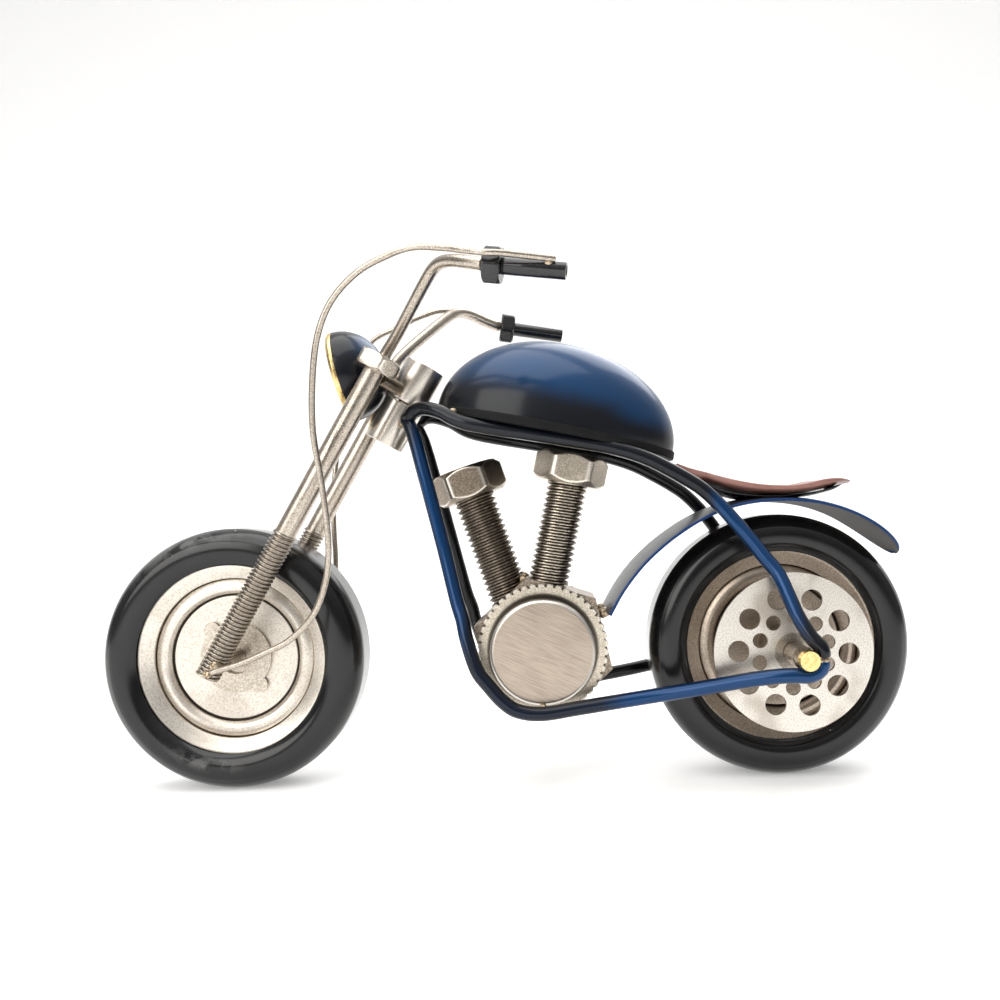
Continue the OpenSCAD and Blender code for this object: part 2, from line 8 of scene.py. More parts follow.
import bpy
import numpy as np
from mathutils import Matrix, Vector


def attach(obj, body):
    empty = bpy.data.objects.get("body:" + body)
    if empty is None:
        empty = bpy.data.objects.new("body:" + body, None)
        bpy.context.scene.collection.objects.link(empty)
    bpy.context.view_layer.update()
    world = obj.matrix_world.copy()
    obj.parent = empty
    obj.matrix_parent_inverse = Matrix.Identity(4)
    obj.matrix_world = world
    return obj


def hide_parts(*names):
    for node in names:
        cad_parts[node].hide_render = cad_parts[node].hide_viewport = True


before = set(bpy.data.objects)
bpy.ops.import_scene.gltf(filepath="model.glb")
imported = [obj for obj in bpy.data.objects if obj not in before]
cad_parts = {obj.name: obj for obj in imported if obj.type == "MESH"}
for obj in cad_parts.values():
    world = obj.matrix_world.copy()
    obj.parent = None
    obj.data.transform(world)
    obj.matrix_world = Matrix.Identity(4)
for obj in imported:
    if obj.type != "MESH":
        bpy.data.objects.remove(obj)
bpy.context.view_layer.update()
mm = 0.001
left_and_right = (("left", -1), ("right", 1))
print("parts in the frame:", len(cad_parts))

# %% [markdown]
# ## A camera and soft light
# The model is small, so the camera stands close, a little above the engine and level with the
# ground. A short distance makes near pieces look larger than far ones, and that is what makes a
# small thing look small. Steel has almost no colour of its own: it shows what surrounds it. Big
# soft panels, with darker gaps between them, give it long creamy highlights. The room is dark
# near the ground and pale above for the steel's sake, but plain and pale where it is seen itself.

# %% Camera
scene = bpy.context.scene
scene.view_settings.view_transform = "Standard"
camera = bpy.data.objects.new("camera", bpy.data.cameras.new("camera"))
scene.collection.objects.link(camera)
camera.location = (0.0115, -0.230, 0.0671)
camera.rotation_euler = (np.radians(90), np.radians(1.5), 0)
camera.data.lens = 31.86
camera.data.sensor_width = 36
camera.data.shift_x = -0.048
camera.data.shift_y = 0.016
camera.data.clip_start = 0.01
scene.camera = camera

# %% Light panels and surroundings
def light_panel(name, place, aim, size, watts, tint=(1, 1, 1)):
    """A square area light at place that faces the point aim."""
    lamp = bpy.data.lights.new(name, "AREA")
    lamp.size = size
    lamp.energy = watts
    lamp.color = tint
    panel = bpy.data.objects.new(name, lamp)
    scene.collection.objects.link(panel)
    panel.location = place
    facing = np.array(aim, float) - np.array(place, float)
    panel.rotation_euler = Vector(facing).to_track_quat("-Z", "Y").to_euler()
    return panel


light_panel("sky panel", (-0.12, -0.12, 0.75), (0, 0, 0.05), 0.7, 4.2, (1, 0.99, 0.97))
light_panel("near panel", (-0.5, -0.65, 0.42), (0, 0, 0.06), 0.6, 4.0, (1, 0.985, 0.955))
light_panel("back panel", (0.25, 0.42, 0.6), (0, 0.05, 0.02), 0.5, 2.4)

surroundings = bpy.data.worlds.new("pale room")
scene.world = surroundings
surroundings.use_nodes = True
room = surroundings.node_tree
height = room.nodes.new("ShaderNodeSeparateXYZ")
shade = room.nodes.new("ShaderNodeValToRGB")
shade.color_ramp.elements[0].position = 0.05
shade.color_ramp.elements[0].color = (0.16, 0.15, 0.14, 1)
shade.color_ramp.elements[1].position = 0.75
shade.color_ramp.elements[1].color = (0.85, 0.85, 0.85, 1)
room.links.new(room.nodes.new("ShaderNodeTexCoord").outputs["Generated"], height.inputs[0])
room.links.new(height.outputs["Z"], shade.inputs["Fac"])
room.links.new(shade.outputs["Color"], room.nodes["Background"].inputs["Color"])
room.nodes["Background"].inputs["Strength"].default_value = 0.8
backdrop = room.nodes.new("ShaderNodeBackground")
backdrop.inputs["Color"].default_value = (0.9, 0.9, 0.9, 1)
seen = room.nodes.new("ShaderNodeMixShader")
room.links.new(room.nodes.new("ShaderNodeLightPath").outputs["Is Camera Ray"], seen.inputs["Fac"])
room.links.new(room.nodes["Background"].outputs[0], seen.inputs[1])
room.links.new(backdrop.outputs[0], seen.inputs[2])
room.links.new(seen.outputs[0], room.nodes["World Output"].inputs["Surface"])

# %% [markdown]
# ## Surfaces from arrays of points
# Nearly every piece here is a row of rings: a bent rod, a bolt's thread, a turned wheel, even
# the fender, whose ring is long and flat. So one helper skins rings. It joins each ring to the
# next, shuts the two ends with a fan, and turns the faces outwards by looking at the sign of
# the volume they enclose. A wheel's rings close into a loop, and then there are no ends.

# %% Skin a row of rings
def ring_faces(rows, around, looped):
    """Corner numbers of the four-sided faces between each ring and the next one."""
    i = np.arange(rows if looped else rows - 1)[:, None]
    j = np.arange(around)[None, :]
    after, side = (i + 1) % rows, (j + 1) % around
    corners = [i * around + j, i * around + side, after * around + side, after * around + j]
    return np.stack([np.broadcast_to(c, (len(i), around)) for c in corners], -1).reshape(-1, 4)


def enclosed(points, faces):
    """Volume inside the faces: each one makes a thin pyramid with its point at the origin."""
    a, b, c, d = (points[faces[:, k]] for k in range(4))
    return (np.einsum("ij,ij->i", a, np.cross(b, c)) + np.einsum("ij,ij->i", a, np.cross(c, d))).sum() / 6


def solid_of(rings, looped=False):
    """Points and faces of a row of rings. Open rows get a middle point and a fan at each end."""
    rows, around = rings.shape[:2]
    points = rings.reshape(-1, 3)
    faces = ring_faces(rows, around, looped)
    if not looped:
        j = np.arange(around)
        side = (j + 1) % around
        middle = len(points)
        last = (rows - 1) * around
        points = np.vstack([points, rings[0].mean(0), rings[-1].mean(0)])
        start = np.stack([np.full(around, middle), side, j, np.full(around, middle)], -1)
        end = np.stack([np.full(around, middle + 1), last + j, last + side, np.full(around, middle + 1)], -1)
        faces = np.vstack([faces, start, end])
    if enclosed(points - points.mean(0), faces) < 0:
        faces = faces[:, ::-1]
    return points, faces


# %% Make a piece from one or more solids
def make_piece(name, solids, body, finish, stands_for, slot, sharp=32, **amounts):
    """One object from solids of points in millimetres. amounts are numbers kept on its points."""
    counts = np.cumsum([0] + [len(p) for p, _ in solids])
    points = np.vstack([p for p, _ in solids]) * mm
    faces = np.vstack([f + n for (_, f), n in zip(solids, counts)])
    fans = faces[:, 0] == faces[:, 3]
    corners = [f[:3] for f in faces[fans].tolist()] + faces[~fans].tolist()
    mesh = bpy.data.meshes.new(name)
    mesh.from_pydata(points.tolist(), [], corners)
    mesh.polygons.foreach_set("use_smooth", np.ones(len(corners), bool))
    for label, amount in amounts.items():
        values = np.zeros(len(points), np.float32)
        values[: len(amount)] = amount
        mesh.attributes.new(label, "FLOAT", "POINT").data.foreach_set("value", values)
    mesh.update()
    mesh.set_sharp_from_angle(angle=np.radians(sharp))
    piece = bpy.data.objects.new(name, mesh)
    scene.collection.objects.link(piece)
    mesh.materials.append(finish)
    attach(piece, body)
    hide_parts(*stands_for)
    print(f"{name}: {len(points)} points")
    return piece


# %% [markdown]
# ## Paths, rods and turned shapes
# A bent rod is a circle carried along a smooth curve. The curve passes through a few marked
# places, as a bender's template does. A turned piece is an outline carried round an axis.

# %% Curves and rings
def smooth_path(marks, parts):
    """Smooth curve through every mark: a cubic between each two, with slopes from their neighbours."""
    p = np.array(marks, float)
    padded = np.vstack([p[:1], p, p[-1:]])
    t = (np.arange(parts) / parts)[None, :, None]
    q0, q1, q2, q3 = (padded[k : len(p) - 1 + k, None, :] for k in range(4))
    curve = 0.5 * (2 * q1 + (q2 - q0) * t + (2 * q0 - 5 * q1 + 4 * q2 - q3) * t**2
                   + (3 * q1 - q0 - 3 * q2 + q3) * t**3)
    return np.vstack([curve.reshape(-1, p.shape[1]), p[-1:]])


def path_frames(path):
    """Unit vectors at each point of a path: along it, to its side and up from it."""
    along = np.gradient(path, axis=0)
    along /= np.linalg.norm(along, axis=1, keepdims=True)
    side = np.cross(along, [0.0, 1.0, 0.0])
    side /= np.linalg.norm(side, axis=1, keepdims=True)
    return along, side, np.cross(side, along)


def rod_rings(path, radius, around):
    """Circles of that radius across the path, with a rounded nose at each end."""
    along, side, up = path_frames(path)
    nose = np.radians([90, 67, 45, 22])
    turn = 2 * np.pi * np.arange(around) / around
    circle = np.cos(turn)[None, :, None] * side[:, None, :] + np.sin(turn)[None, :, None] * up[:, None, :]
    body = path[:, None, :] + radius * circle
    reach = 0.5 * radius
    start = (path[0] + along[0] * reach * (1 - np.sin(nose))[:, None])[:, None, :]
    start = start + radius * (0.02 + 0.98 * np.cos(nose))[:, None, None] * circle[0]
    end = (path[-1] - along[-1] * reach * (1 - np.sin(nose[::-1]))[:, None])[:, None, :]
    end = end + radius * (0.02 + 0.98 * np.cos(nose[::-1]))[:, None, None] * circle[-1]
    keep_start = np.linalg.norm(path - path[0], axis=1) > reach
    keep_end = np.linalg.norm(path - path[-1], axis=1) > reach
    return np.concatenate([start, body[keep_start & keep_end], end])


def mirrored(points, side):
    """The same points on the left (-1) or the right (1) of the model."""
    return points * np.array([1.0, side, 1.0])


def axis_frame(axis):
    """Three unit vectors: the axis and two across it, the first as level as it can be."""
    w = np.array(axis, float) / np.linalg.norm(axis)
    u = np.cross([0.0, 1.0, 0.0], w) if abs(w[1]) < 0.9 else np.array([1.0, 0.0, 0.0])
    u /= np.linalg.norm(u)
    return u, np.cross(w, u), w


def turned(outline, at, axis, around, looped=False):
    """An outline of (radius, height) pairs carried round an axis through the point at."""
    outline = np.array(outline, float)
    u, v, w = axis_frame(axis)
    turn = (2 * np.pi * np.arange(around) / around)[None, :, None]
    spoke = np.cos(turn) * u + np.sin(turn) * v
    rings = np.array(at, float) + outline[:, None, :1] * spoke + outline[:, None, 1:] * w
    return solid_of(rings if not looped else rings.transpose(1, 0, 2), looped)


def eased(outline, size, steps=3):
    """The outline with each corner cut back by size and rounded by a few short steps."""
    p = np.array(outline, float)
    back, on = p[:-2] - p[1:-1], p[2:] - p[1:-1]
    reach = np.minimum(size, 0.45 * np.minimum(np.linalg.norm(back, axis=1), np.linalg.norm(on, axis=1)))
    start = p[1:-1] + back / np.linalg.norm(back, axis=1, keepdims=True) * reach[:, None]
    end = p[1:-1] + on / np.linalg.norm(on, axis=1, keepdims=True) * reach[:, None]
    t = np.linspace(0, 1, steps + 1)[None, :, None]
    curve = (1 - t) ** 2 * start[:, None] + 2 * t * (1 - t) * p[1:-1, None] + t**2 * end[:, None]
    return np.vstack([p[:1], curve.reshape(-1, 2), p[-1:]])


# %% [markdown]
# ## Mixing finishes with a little arithmetic
# A finish is a small recipe: where it is worn, where it is dark, how rough it is. Written as
# plain sums it stays readable, so one class lets us add and multiply the wires between nodes,
# and one method makes any node. Numbers that are the same everywhere sit on the shader itself.

# %% Wires that do arithmetic, and a finish under construction
class Wire:
    """The output of a node. Sums with it add Math nodes to the same finish."""

    def __init__(self, finish, socket):
        self.finish, self.socket = finish, socket

    def maths(self, operation, *values, clamp=False):
        inputs = dict(enumerate(values))
        return self.finish.node("ShaderNodeMath", {"operation": operation, "use_clamp": clamp}, inputs)

    def __add__(self, other):
        return self.maths("ADD", self, other)

    def __sub__(self, other):
        return self.maths("SUBTRACT", self, other)

    def __rsub__(self, other):
        return self.maths("SUBTRACT", other, self)

    def __mul__(self, other):
        return self.maths("MULTIPLY", self, other)

    __radd__, __rmul__ = __add__, __mul__

    def between(self, low, high):
        """0 below low, 1 above high, and a smooth rise from one to the other."""
        settings = {"interpolation_type": "SMOOTHSTEP"}
        ends = {"Value": self, "From Min": low, "From Max": high}
        return self.finish.node("ShaderNodeMapRange", settings, ends)


class Finish:
    """A material being mixed, with one Principled shader at its end."""

    def __init__(self, name, **constants):
        self.material = bpy.data.materials.new(name)
        self.material.use_nodes = True
        self.tree = self.material.node_tree
        self.shader = self.tree.nodes["Principled BSDF"]
        for socket, value in constants.items():
            self.shader.inputs[socket.replace("_", " ")].default_value = value
        self.place = self.node("ShaderNodeTexCoord", out="Object")

    def node(self, kind, settings=None, inputs=None, out=0):
        """Makes a node: its settings first, then each input as a number, a colour or a wire."""
        made = self.tree.nodes.new(kind)
        for key, value in (settings or {}).items():
            if key == "stops":
                ramp = made.color_ramp
                while len(ramp.elements) < len(value):
                    ramp.elements.new(0.5)
                for stop, (position, colour) in zip(ramp.elements, value):
                    stop.position, stop.color = position, (*colour, 1)
            else:
                setattr(made, key, value)
        for key, value in (inputs or {}).items():
            if isinstance(value, Wire):
                self.tree.links.new(value.socket, made.inputs[key])
            else:
                made.inputs[key].default_value = value
        return Wire(self, made.outputs[out])

    def noise(self, size, detail=3.0, rough=0.5, stretch=None, turn=(0, 0, 0)):
        """Cloudy pattern from 0 to 1 whose clouds are about size metres across."""
        where = self.place
        if stretch is not None:
            change = {"Vector": where, "Rotation": turn, "Scale": stretch}
            where = self.node("ShaderNodeMapping", None, change)
        inputs = {"Vector": where, "Scale": 1 / size, "Detail": detail, "Roughness": rough}
        return self.node("ShaderNodeTexNoise", None, inputs)

    def kept(self, label):
        """A number kept on the piece's own points."""
        return self.node("ShaderNodeAttribute", {"attribute_name": label}, out="Fac")

    def blend(self, amount, first, second):
        """The first colour where amount is 0, and the second where it is 1."""
        ends = {"Factor": amount, "A": first if isinstance(first, Wire) else (*first, 1),
                "B": second if isinstance(second, Wire) else (*second, 1)}
        made = self.tree.nodes.new("ShaderNodeMix")
        made.data_type = "RGBA"
        for key, value in ends.items():
            socket = next(s for s in made.inputs if s.name == key and s.enabled)
            if isinstance(value, Wire):
                self.tree.links.new(value.socket, socket)
            else:
                socket.default_value = value
        return Wire(self, next(s for s in made.outputs if s.enabled))

    def wear(self, height, strength, distance):
        """Small relief: height is a pattern, and distance its depth in metres."""
        inputs = {"Height": height, "Strength": strength, "Distance": distance}
        self.varied(Normal=self.node("ShaderNodeBump", None, inputs))

    def varied(self, **wires):
        """Joins patterns to the shader's own sockets."""
        for socket, wire in wires.items():
            self.tree.links.new(wire.socket, self.shader.inputs[socket.replace("_", " ")])
        return self.material


# %% [markdown]
# ## Bare steel
# The bolts, cans and wheels are nickel-grey steel under thin lacquer. Up close it's speckled:
# the grain of the metal breaks the light into bright and brown dots. Larger clouds make some
# places warmer, and strong brown mottling on the drilled discs is a painted reflection. Painted
# shade darkens the flanks of the threads, between bright crests and bright roots, and the
# grooves and gaps of wheels and washers; edges get a painted highlight.

# %% Steel finishes
def steel(name, bright, deep, roughness, speckle=0.00028, contrast=(0.38, 0.66), bump=0.25, brown_mottle=0.15):
    """Speckled metal from a deep to a bright tint, with brown clouds as strong as its last argument.

    Points may keep two numbers from 0 to 1: one for painted shade, which darkens, and edge, for a painted
    highlight, which brightens.
    """
    f = Finish(name, Metallic=1.0)
    grain = f.noise(speckle, 2.5, 0.6)
    cloud = f.noise(0.009, 2.0)
    tone = f.blend(grain.between(*contrast) * 0.75 + cloud * 0.25, deep, bright)
    # Brown clouds; the strong ones on the drilled discs are a painted reflection.
    tone = f.blend(f.noise(0.013, 2.0).between(0.48, 0.72) * brown_mottle, tone, (0.26, 0.20, 0.15))
    # Painted shade and a painted highlight, from numbers kept on the points.
    tone = f.blend(f.kept("groove"), tone, (0.035, 0.028, 0.022))
    tone = f.blend(f.kept("edge") * 0.75, tone, (0.98, 0.94, 0.87))
    f.varied(Base_Color=tone, Roughness=roughness + 0.16 * cloud - 0.08 * grain)
    f.wear(grain, bump, 0.00006)
    return f.material


bar_steel = steel("nickel grey steel", (0.69, 0.625, 0.545), (0.29, 0.245, 0.20), 0.25)
bolt_steel = steel("dark bolt steel", (0.48, 0.405, 0.325), (0.15, 0.118, 0.09), 0.3)
bright_bolt_steel = steel("pale bolt steel", (0.86, 0.78, 0.66), (0.40, 0.34, 0.27), 0.32)
washer_steel = steel("champagne washer steel", (0.86, 0.79, 0.67), (0.46, 0.395, 0.31), 0.3)
wheel_steel = steel("pale wheel steel", (0.84, 0.795, 0.725), (0.56, 0.49, 0.41), 0.34, 0.0004,
                    (0.3, 0.6), bump=0.12, brown_mottle=0.25)
ear_steel = steel("eared washer steel", (0.76, 0.70, 0.61), (0.42, 0.36, 0.295), 0.36, 0.0004)
rim_bronze = steel("warm brown steel", (0.58, 0.50, 0.42), (0.30, 0.245, 0.195), 0.32)
# The strong brown mottling of the drilled discs is a painted reflection.
disc_steel = steel("brake disc steel", (0.86, 0.82, 0.76), (0.48, 0.425, 0.365), 0.3, 0.00028,
                   (0.3, 0.62), bump=0.15, brown_mottle=0.6)

# %% Slug faces with fine slanted scratches
def scratched_steel(name):
    """Champagne steel with long thin scratches across a slanted direction of its face."""
    f = Finish(name, Metallic=1.0)
    turned_place = f.node("ShaderNodeMapping", {"vector_type": "TEXTURE"},
                          {"Vector": f.place, "Rotation": (0, np.radians(24), 0), "Scale": (34, 1, 1)})
    fine = f.node("ShaderNodeTexNoise", None, {
        "Vector": turned_place, "Scale": 4500, "Detail": 3.0, "Roughness": 0.65})
    cloud = f.noise(0.006, 2.0)
    tone = f.blend(fine.between(0.35, 0.65) * 0.5 + cloud * 0.4, (0.33, 0.265, 0.215), (0.60, 0.515, 0.425))
    # Painted shade and a painted highlight, from numbers kept on the points.
    tone = f.blend(f.kept("groove"), tone, (0.05, 0.04, 0.032))
    tone = f.blend(f.kept("edge") * 0.9, tone, (0.98, 0.95, 0.9))
    f.varied(Base_Color=tone, Roughness=0.36 + 0.1 * cloud)
    f.wear(fine, 0.12, 0.00004)
    return f.material


slug_steel = scratched_steel("brushed champagne steel")

# %% [markdown]
# ## Paint
# The tank was sprayed metallic blue over black, then cleared, so the blue fades into black
# towards the edges. The frame rods got the same blue on their outer sides only. The number
# blue is kept on each point, and the finish turns it into colour. A clear coat lies over all.

# %% Paint finishes
def sprayed(name, blue, under=(0.003, 0.0035, 0.005), flake=0.2, roughness=0.3, coat=0.12):
    """Blue metallic spray over black, under clear lacquer. Points keep blue from 0 to 1."""
    f = Finish(name, Coat_Weight=0.65, Coat_Roughness=coat, Coat_IOR=1.4, Specular_IOR_Level=0.12)
    grain = f.noise(0.0004, 2.0, 0.6)
    drift = f.noise(0.012, 2.0)
    amount = (f.kept("blue") * (0.8 + 0.4 * drift) + 0.12 * (grain - 0.5)).between(0.05, 0.95)
    f.varied(Base_Color=f.blend(amount, under, blue), Metallic=flake + 0.4 * amount,
             Roughness=roughness + 0.1 * grain)
    f.wear(drift, 0.08, 0.0002)
    return f.material


def gloss(name, colour, roughness=0.22, coat=0.8, spots=(0.02, 0.02, 0.022), coat_roughness=0.06):
    """Smooth coloured lacquer with slight unevenness."""
    f = Finish(name, Coat_Weight=coat, Coat_Roughness=coat_roughness, Specular_IOR_Level=0.2)
    cloud = f.noise(0.004, 3.0)
    tone = f.blend(cloud.between(0.4, 0.75) * 0.5, colour, spots)
    f.varied(Base_Color=tone, Roughness=roughness + 0.1 * cloud)
    f.wear(f.noise(0.0008, 2.0), 0.06, 0.00005)
    return f.material


tank_paint = sprayed("tank blue over black", (0.004, 0.038, 0.112), (0.003, 0.0044, 0.0075), 0.1, 0.42, 0.17)
rail_paint = sprayed("rod blue over black", (0.003, 0.038, 0.125))


def fender_finish():
    """Dark lacquer outside, plain brown-grey inside, and blue along the cut edges."""
    f = Finish("fender dark lacquer", Coat_Roughness=0.2, Coat_IOR=1.3, Specular_IOR_Level=0.15)
    grain = f.noise(0.0012, 3.0)
    outer = f.kept("outer")
    tone = f.blend(outer, (0.052, 0.044, 0.037), (0.02, 0.021, 0.024))
    tone = f.blend(f.kept("blue"), tone, (0.007, 0.034, 0.12))
    f.varied(Base_Color=tone, Roughness=0.55 + 0.1 * grain - 0.2 * outer, Coat_Weight=0.3 * outer)
    f.wear(grain, 0.06, 0.0001)
    return f.material


fender_paint = fender_finish()
black_paint = gloss("black gloss lacquer", (0.006, 0.006, 0.007))
matt_black = gloss("matt black underside", (0.004, 0.004, 0.0045), 0.62, 0.0, (0.008, 0.008, 0.008))
seat_paint = gloss("reddish brown lacquer", (0.29, 0.145, 0.12), 0.42, 0.35, (0.19, 0.085, 0.07), 0.2)

# %% Tyre black, brass, gold and weld metal
def tyre_rubber():
    """Satin black with a faint bloom and a few pale scuffs."""
    f = Finish("satin tyre black", Coat_Weight=1.0, Coat_Roughness=0.18, Coat_IOR=1.45,
               Specular_IOR_Level=0.05)
    cloud = f.noise(0.012, 4.0, 0.6)
    nick = f.noise(0.0016, 3.0, 0.7, (1, 0.5, 1)).between(0.735, 0.76) * cloud.between(0.5, 0.6)
    scuff = f.kept("scuff") * f.noise(0.004, 4.0, 0.65).between(0.42, 0.58)
    tone = f.blend(cloud.between(0.35, 0.8), (0.0022, 0.0024, 0.003), (0.006, 0.0064, 0.0074))
    tone = f.blend(nick, tone, (0.42, 0.42, 0.41))
    tone = f.blend(scuff * 0.35, tone, (0.30, 0.30, 0.29))
    f.varied(Base_Color=tone, Roughness=0.3 + 0.14 * cloud + 0.25 * scuff)
    f.wear(f.noise(0.0005, 2.0) * 0.5 + cloud, 0.08, 0.0002)
    return f.material


def cast_metal(name, bright, deep, roughness, grain=0.0006, bump=0.5):
    """Lumpy melted metal, as in brazed joints, or smooth brass with a low bump."""
    f = Finish(name, Metallic=1.0)
    lump = f.noise(grain, 3.0, 0.6)
    f.varied(Base_Color=f.blend(lump.between(0.35, 0.65), deep, bright), Roughness=roughness + 0.2 * lump)
    f.wear(lump, bump, 0.00015)
    return f.material


tyre_black = tyre_rubber()
brass = cast_metal("yellow brass", (0.95, 0.76, 0.36), (0.72, 0.52, 0.2), 0.16, 0.001, 0.08)
lamp_gold = cast_metal("pale gold", (0.90, 0.70, 0.36), (0.68, 0.48, 0.20), 0.18, 0.001, 0.05)
weld_metal = cast_metal("golden weld", (0.66, 0.55, 0.40), (0.16, 0.11, 0.07), 0.3, 0.0007)
lens_glass = cast_metal("warm lens", (0.98, 0.88, 0.66), (0.86, 0.72, 0.48), 0.12, 0.003, 0.02)

# %% [markdown]
# ## The two side rods
# Each side of the frame is one bent rod, seen as two lengths: the top rail that carries the
# tank and drops to the rear axle, and the cradle that goes down in front of the engine and back
# under it. The blue was sprayed from outside, so a point is bluer when it faces outwards.

# %% Frame rods
rod_radius = 1.75
top_rail_marks = [
    (-24, 5.6, 92.6), (-22.6, 7.6, 93), (-21.1, 8.8, 94.2), (-18.6, 10.2, 94.6), (-14.4, 12.5, 93.4),
    (-7.9, 14.5, 90.2), (8.8, 15.5, 86.9), (22.6, 15.6, 84.3), (29.4, 15.7, 82.7), (35.6, 15.8, 80.5),
    (40.8, 15.9, 77.8), (46, 16, 74.7), (49.5, 16, 72.2), (53.1, 16.2, 68.6), (56.5, 17, 64.5),
    (59.8, 18.5, 60.1), (62.5, 20, 56.1), (65.2, 21.6, 52.2), (67, 24, 47), (68.5, 26, 42.4),
    (70.8, 28, 37.9), (72.7, 29, 35.6), (73.3, 29, 33)]
cradle_marks = [
    (-24, 5.6, 92.6), (-22.9, 7.4, 91.2), (-21.7, 8.6, 88.4), (-20.6, 9.3, 84.6), (-19.3, 9.9, 79.4),
    (-17.4, 10.4, 71.8), (-14.4, 11, 59.4), (-11.5, 13, 47.1), (-10, 14.4, 42.3), (-9, 15.6, 37.6),
    (-6.6, 17.2, 30.5), (-3.7, 17.8, 26.6), (-0.4, 18.2, 22.9), (3.2, 18.4, 20.6), (9, 18.4, 19.85),
    (18, 18.4, 21.05), (34.6, 19.6, 23.6), (45.5, 22.2, 25.6), (55.3, 26, 27.9), (62, 28.2, 29.1),
    (66.2, 29, 29.4), (70, 29, 29.3), (72.5, 29, 30.6), (73.3, 29, 33)]


def rise(x, low, high):
    """0 below low, 1 above high, and a smooth step between."""
    t = np.clip((x - low) / (high - low), 0, 1)
    return t * t * (3 - 2 * t)


def spray(points, middle, bright):
    """Blue on the outer side of a rod: how far its surface faces out, times how much was sprayed."""
    outward = np.abs(points[..., 1]) - np.abs(middle[..., 1])
    return np.clip(0.25 + 0.75 * outward / rod_radius, 0, 1) * bright


for side_name, side in left_and_right:
    for rod_name, marks in (("top_rail", top_rail_marks), ("cradle_rail", cradle_marks)):
        rings = mirrored(rod_rings(smooth_path(marks, 6), rod_radius, 28), side)
        middle = np.broadcast_to(rings.mean(1, keepdims=True), rings.shape)
        x = rings[..., 0]
        if rod_name == "top_rail":
            bright = 0.15 + 0.85 * rise(x, 49, 54) * (1 - rise(x, 66, 71))
        else:
            bright = 0.25 + 0.6 * rise(x, -23, -19) * (1 - rise(x, -11, -8)) + 0.75 * rise(x, 22, 32)
        make_piece(f"{rod_name}_{side_name}", [solid_of(rings)], "frame", rail_paint,
                   [f"{rod_name}_{side_name}"], "rail_paint", blue=spray(rings, middle, bright).ravel())

# %% [markdown]
# ## The tank
# The tank is half of a longer egg pressed from sheet, welded to a flat base. Its widest place
# sits a little ahead of its middle. Rings rise from the base to the crown, each one smaller.

# %% Tank dome and base
tank_pitch = np.radians(12.3)
tank_corner = np.array([-16.4, 0, 96.0])


def on_tank(local):
    """Turns points of the level tank by its pitch and puts them on the frame."""
    x, y, z = local[..., 0], local[..., 1], local[..., 2]
    tilted = np.stack([x * np.cos(tank_pitch) + z * np.sin(tank_pitch), y,
                       -x * np.sin(tank_pitch) + z * np.cos(tank_pitch)], -1)
    return tank_corner + tilted


def egg_ring(turn, grow):
    """Outline of the egg at its base: a half ellipse ahead of the widest place, another behind."""
    reach = np.where(np.cos(turn) < 0, 29.3, 32.8) + grow
    return reach * np.cos(turn), (19 + grow) * np.sin(turn)


turn = 2 * np.pi * np.arange(128) / 128
climb = np.radians(np.concatenate([np.linspace(0, 80, 50), np.linspace(81, 89.6, 8)]))[:, None]
flat_x, flat_y = egg_ring(turn, 0)
dome = on_tank(np.stack([29.3 + flat_x * np.cos(climb), flat_y * np.cos(climb),
                         22.2 * np.sin(climb) + 0 * flat_x], -1))
height = np.broadcast_to(np.sin(climb), dome.shape[:2])
along = np.broadcast_to((flat_x * np.cos(climb)) / 30, dome.shape[:2])
tank_blue = rise(height, 0.1, 0.55) * (0.8 + 0.2 * rise(along, -0.6, 0.3))
tank_blue = tank_blue * (1 - 0.45 * rise(height, 0.93, 1))
tank_blue = np.maximum(tank_blue, 0.9 * rise(along, 0.2, 0.75) * rise(height, 0.02, 0.4))
make_piece("tank_dome", [solid_of(dome)], "frame", tank_paint, ["tank_shell"], "tank_paint",
           blue=tank_blue.ravel())

edge = eased([(-20, -2.2), (0.5, -2.2), (0.5, 0), (-20, 0)], 0.5)
base = []
for grow, level in edge:
    base_x, base_y = egg_ring(turn, max(grow, -18.9))
    base.append(on_tank(np.stack([29.3 + base_x, base_y, np.full_like(base_x, level)], -1)))
make_piece("tank_floor", [solid_of(np.array(base))], "frame", matt_black, ["tank_base"], "black_paint")

# %% [markdown]
# ## Fender and seat
# Both are thin bent strips. A strip is a rod whose ring is wide and flat: across the top, round
# the edge, and back underneath. The fender's far end is cut round like a spoon. The seat is
# narrow at both ends and curls up behind.

# %% Strips with rounded edges
def strip_ring(count):
    """Shares across a flat ring, from -1 to 1 and back, and which face (1 above, -1 below)."""
    a = 2 * np.pi * (np.arange(count) + 0.5) / count
    across = np.sign(np.cos(a)) * np.abs(np.cos(a)) ** 0.55
    return across, np.sign(np.sin(a)) * np.abs(np.sin(a)) ** 0.28


fender_marks = [
    (25.6, 42.6), (29, 48.4), (33.4, 54), (38, 58.4), (43, 62.2), (49, 65.8), (56, 68.6), (63, 69.9),
    (70, 70.2), (77, 69.6), (83.6, 68), (89.6, 65.4), (95, 61.9), (99.3, 58.2), (101.6, 55.4)]
line = smooth_path(fender_marks, 8)
slope = np.gradient(line, axis=0)
slope /= np.linalg.norm(slope, axis=1, keepdims=True)
left_over = np.append(np.cumsum(np.linalg.norm(np.diff(line, axis=0), axis=1)[::-1])[::-1], 0)
tail = np.sqrt(np.clip(1 - np.clip(1 - left_over / 13.8, 0, 1) ** 2, 0.012, 1))
run = np.linspace(0, 1, len(line))
half_width = 13.8 * tail * (1 - 0.1 * rise(run, 0.45, 0.6))
across, face = strip_ring(72)
lift = 0.45 * face[None, :] * np.clip(tail[:, None] * 1.5, 0.3, 1) - 0.6 * across[None, :] ** 2
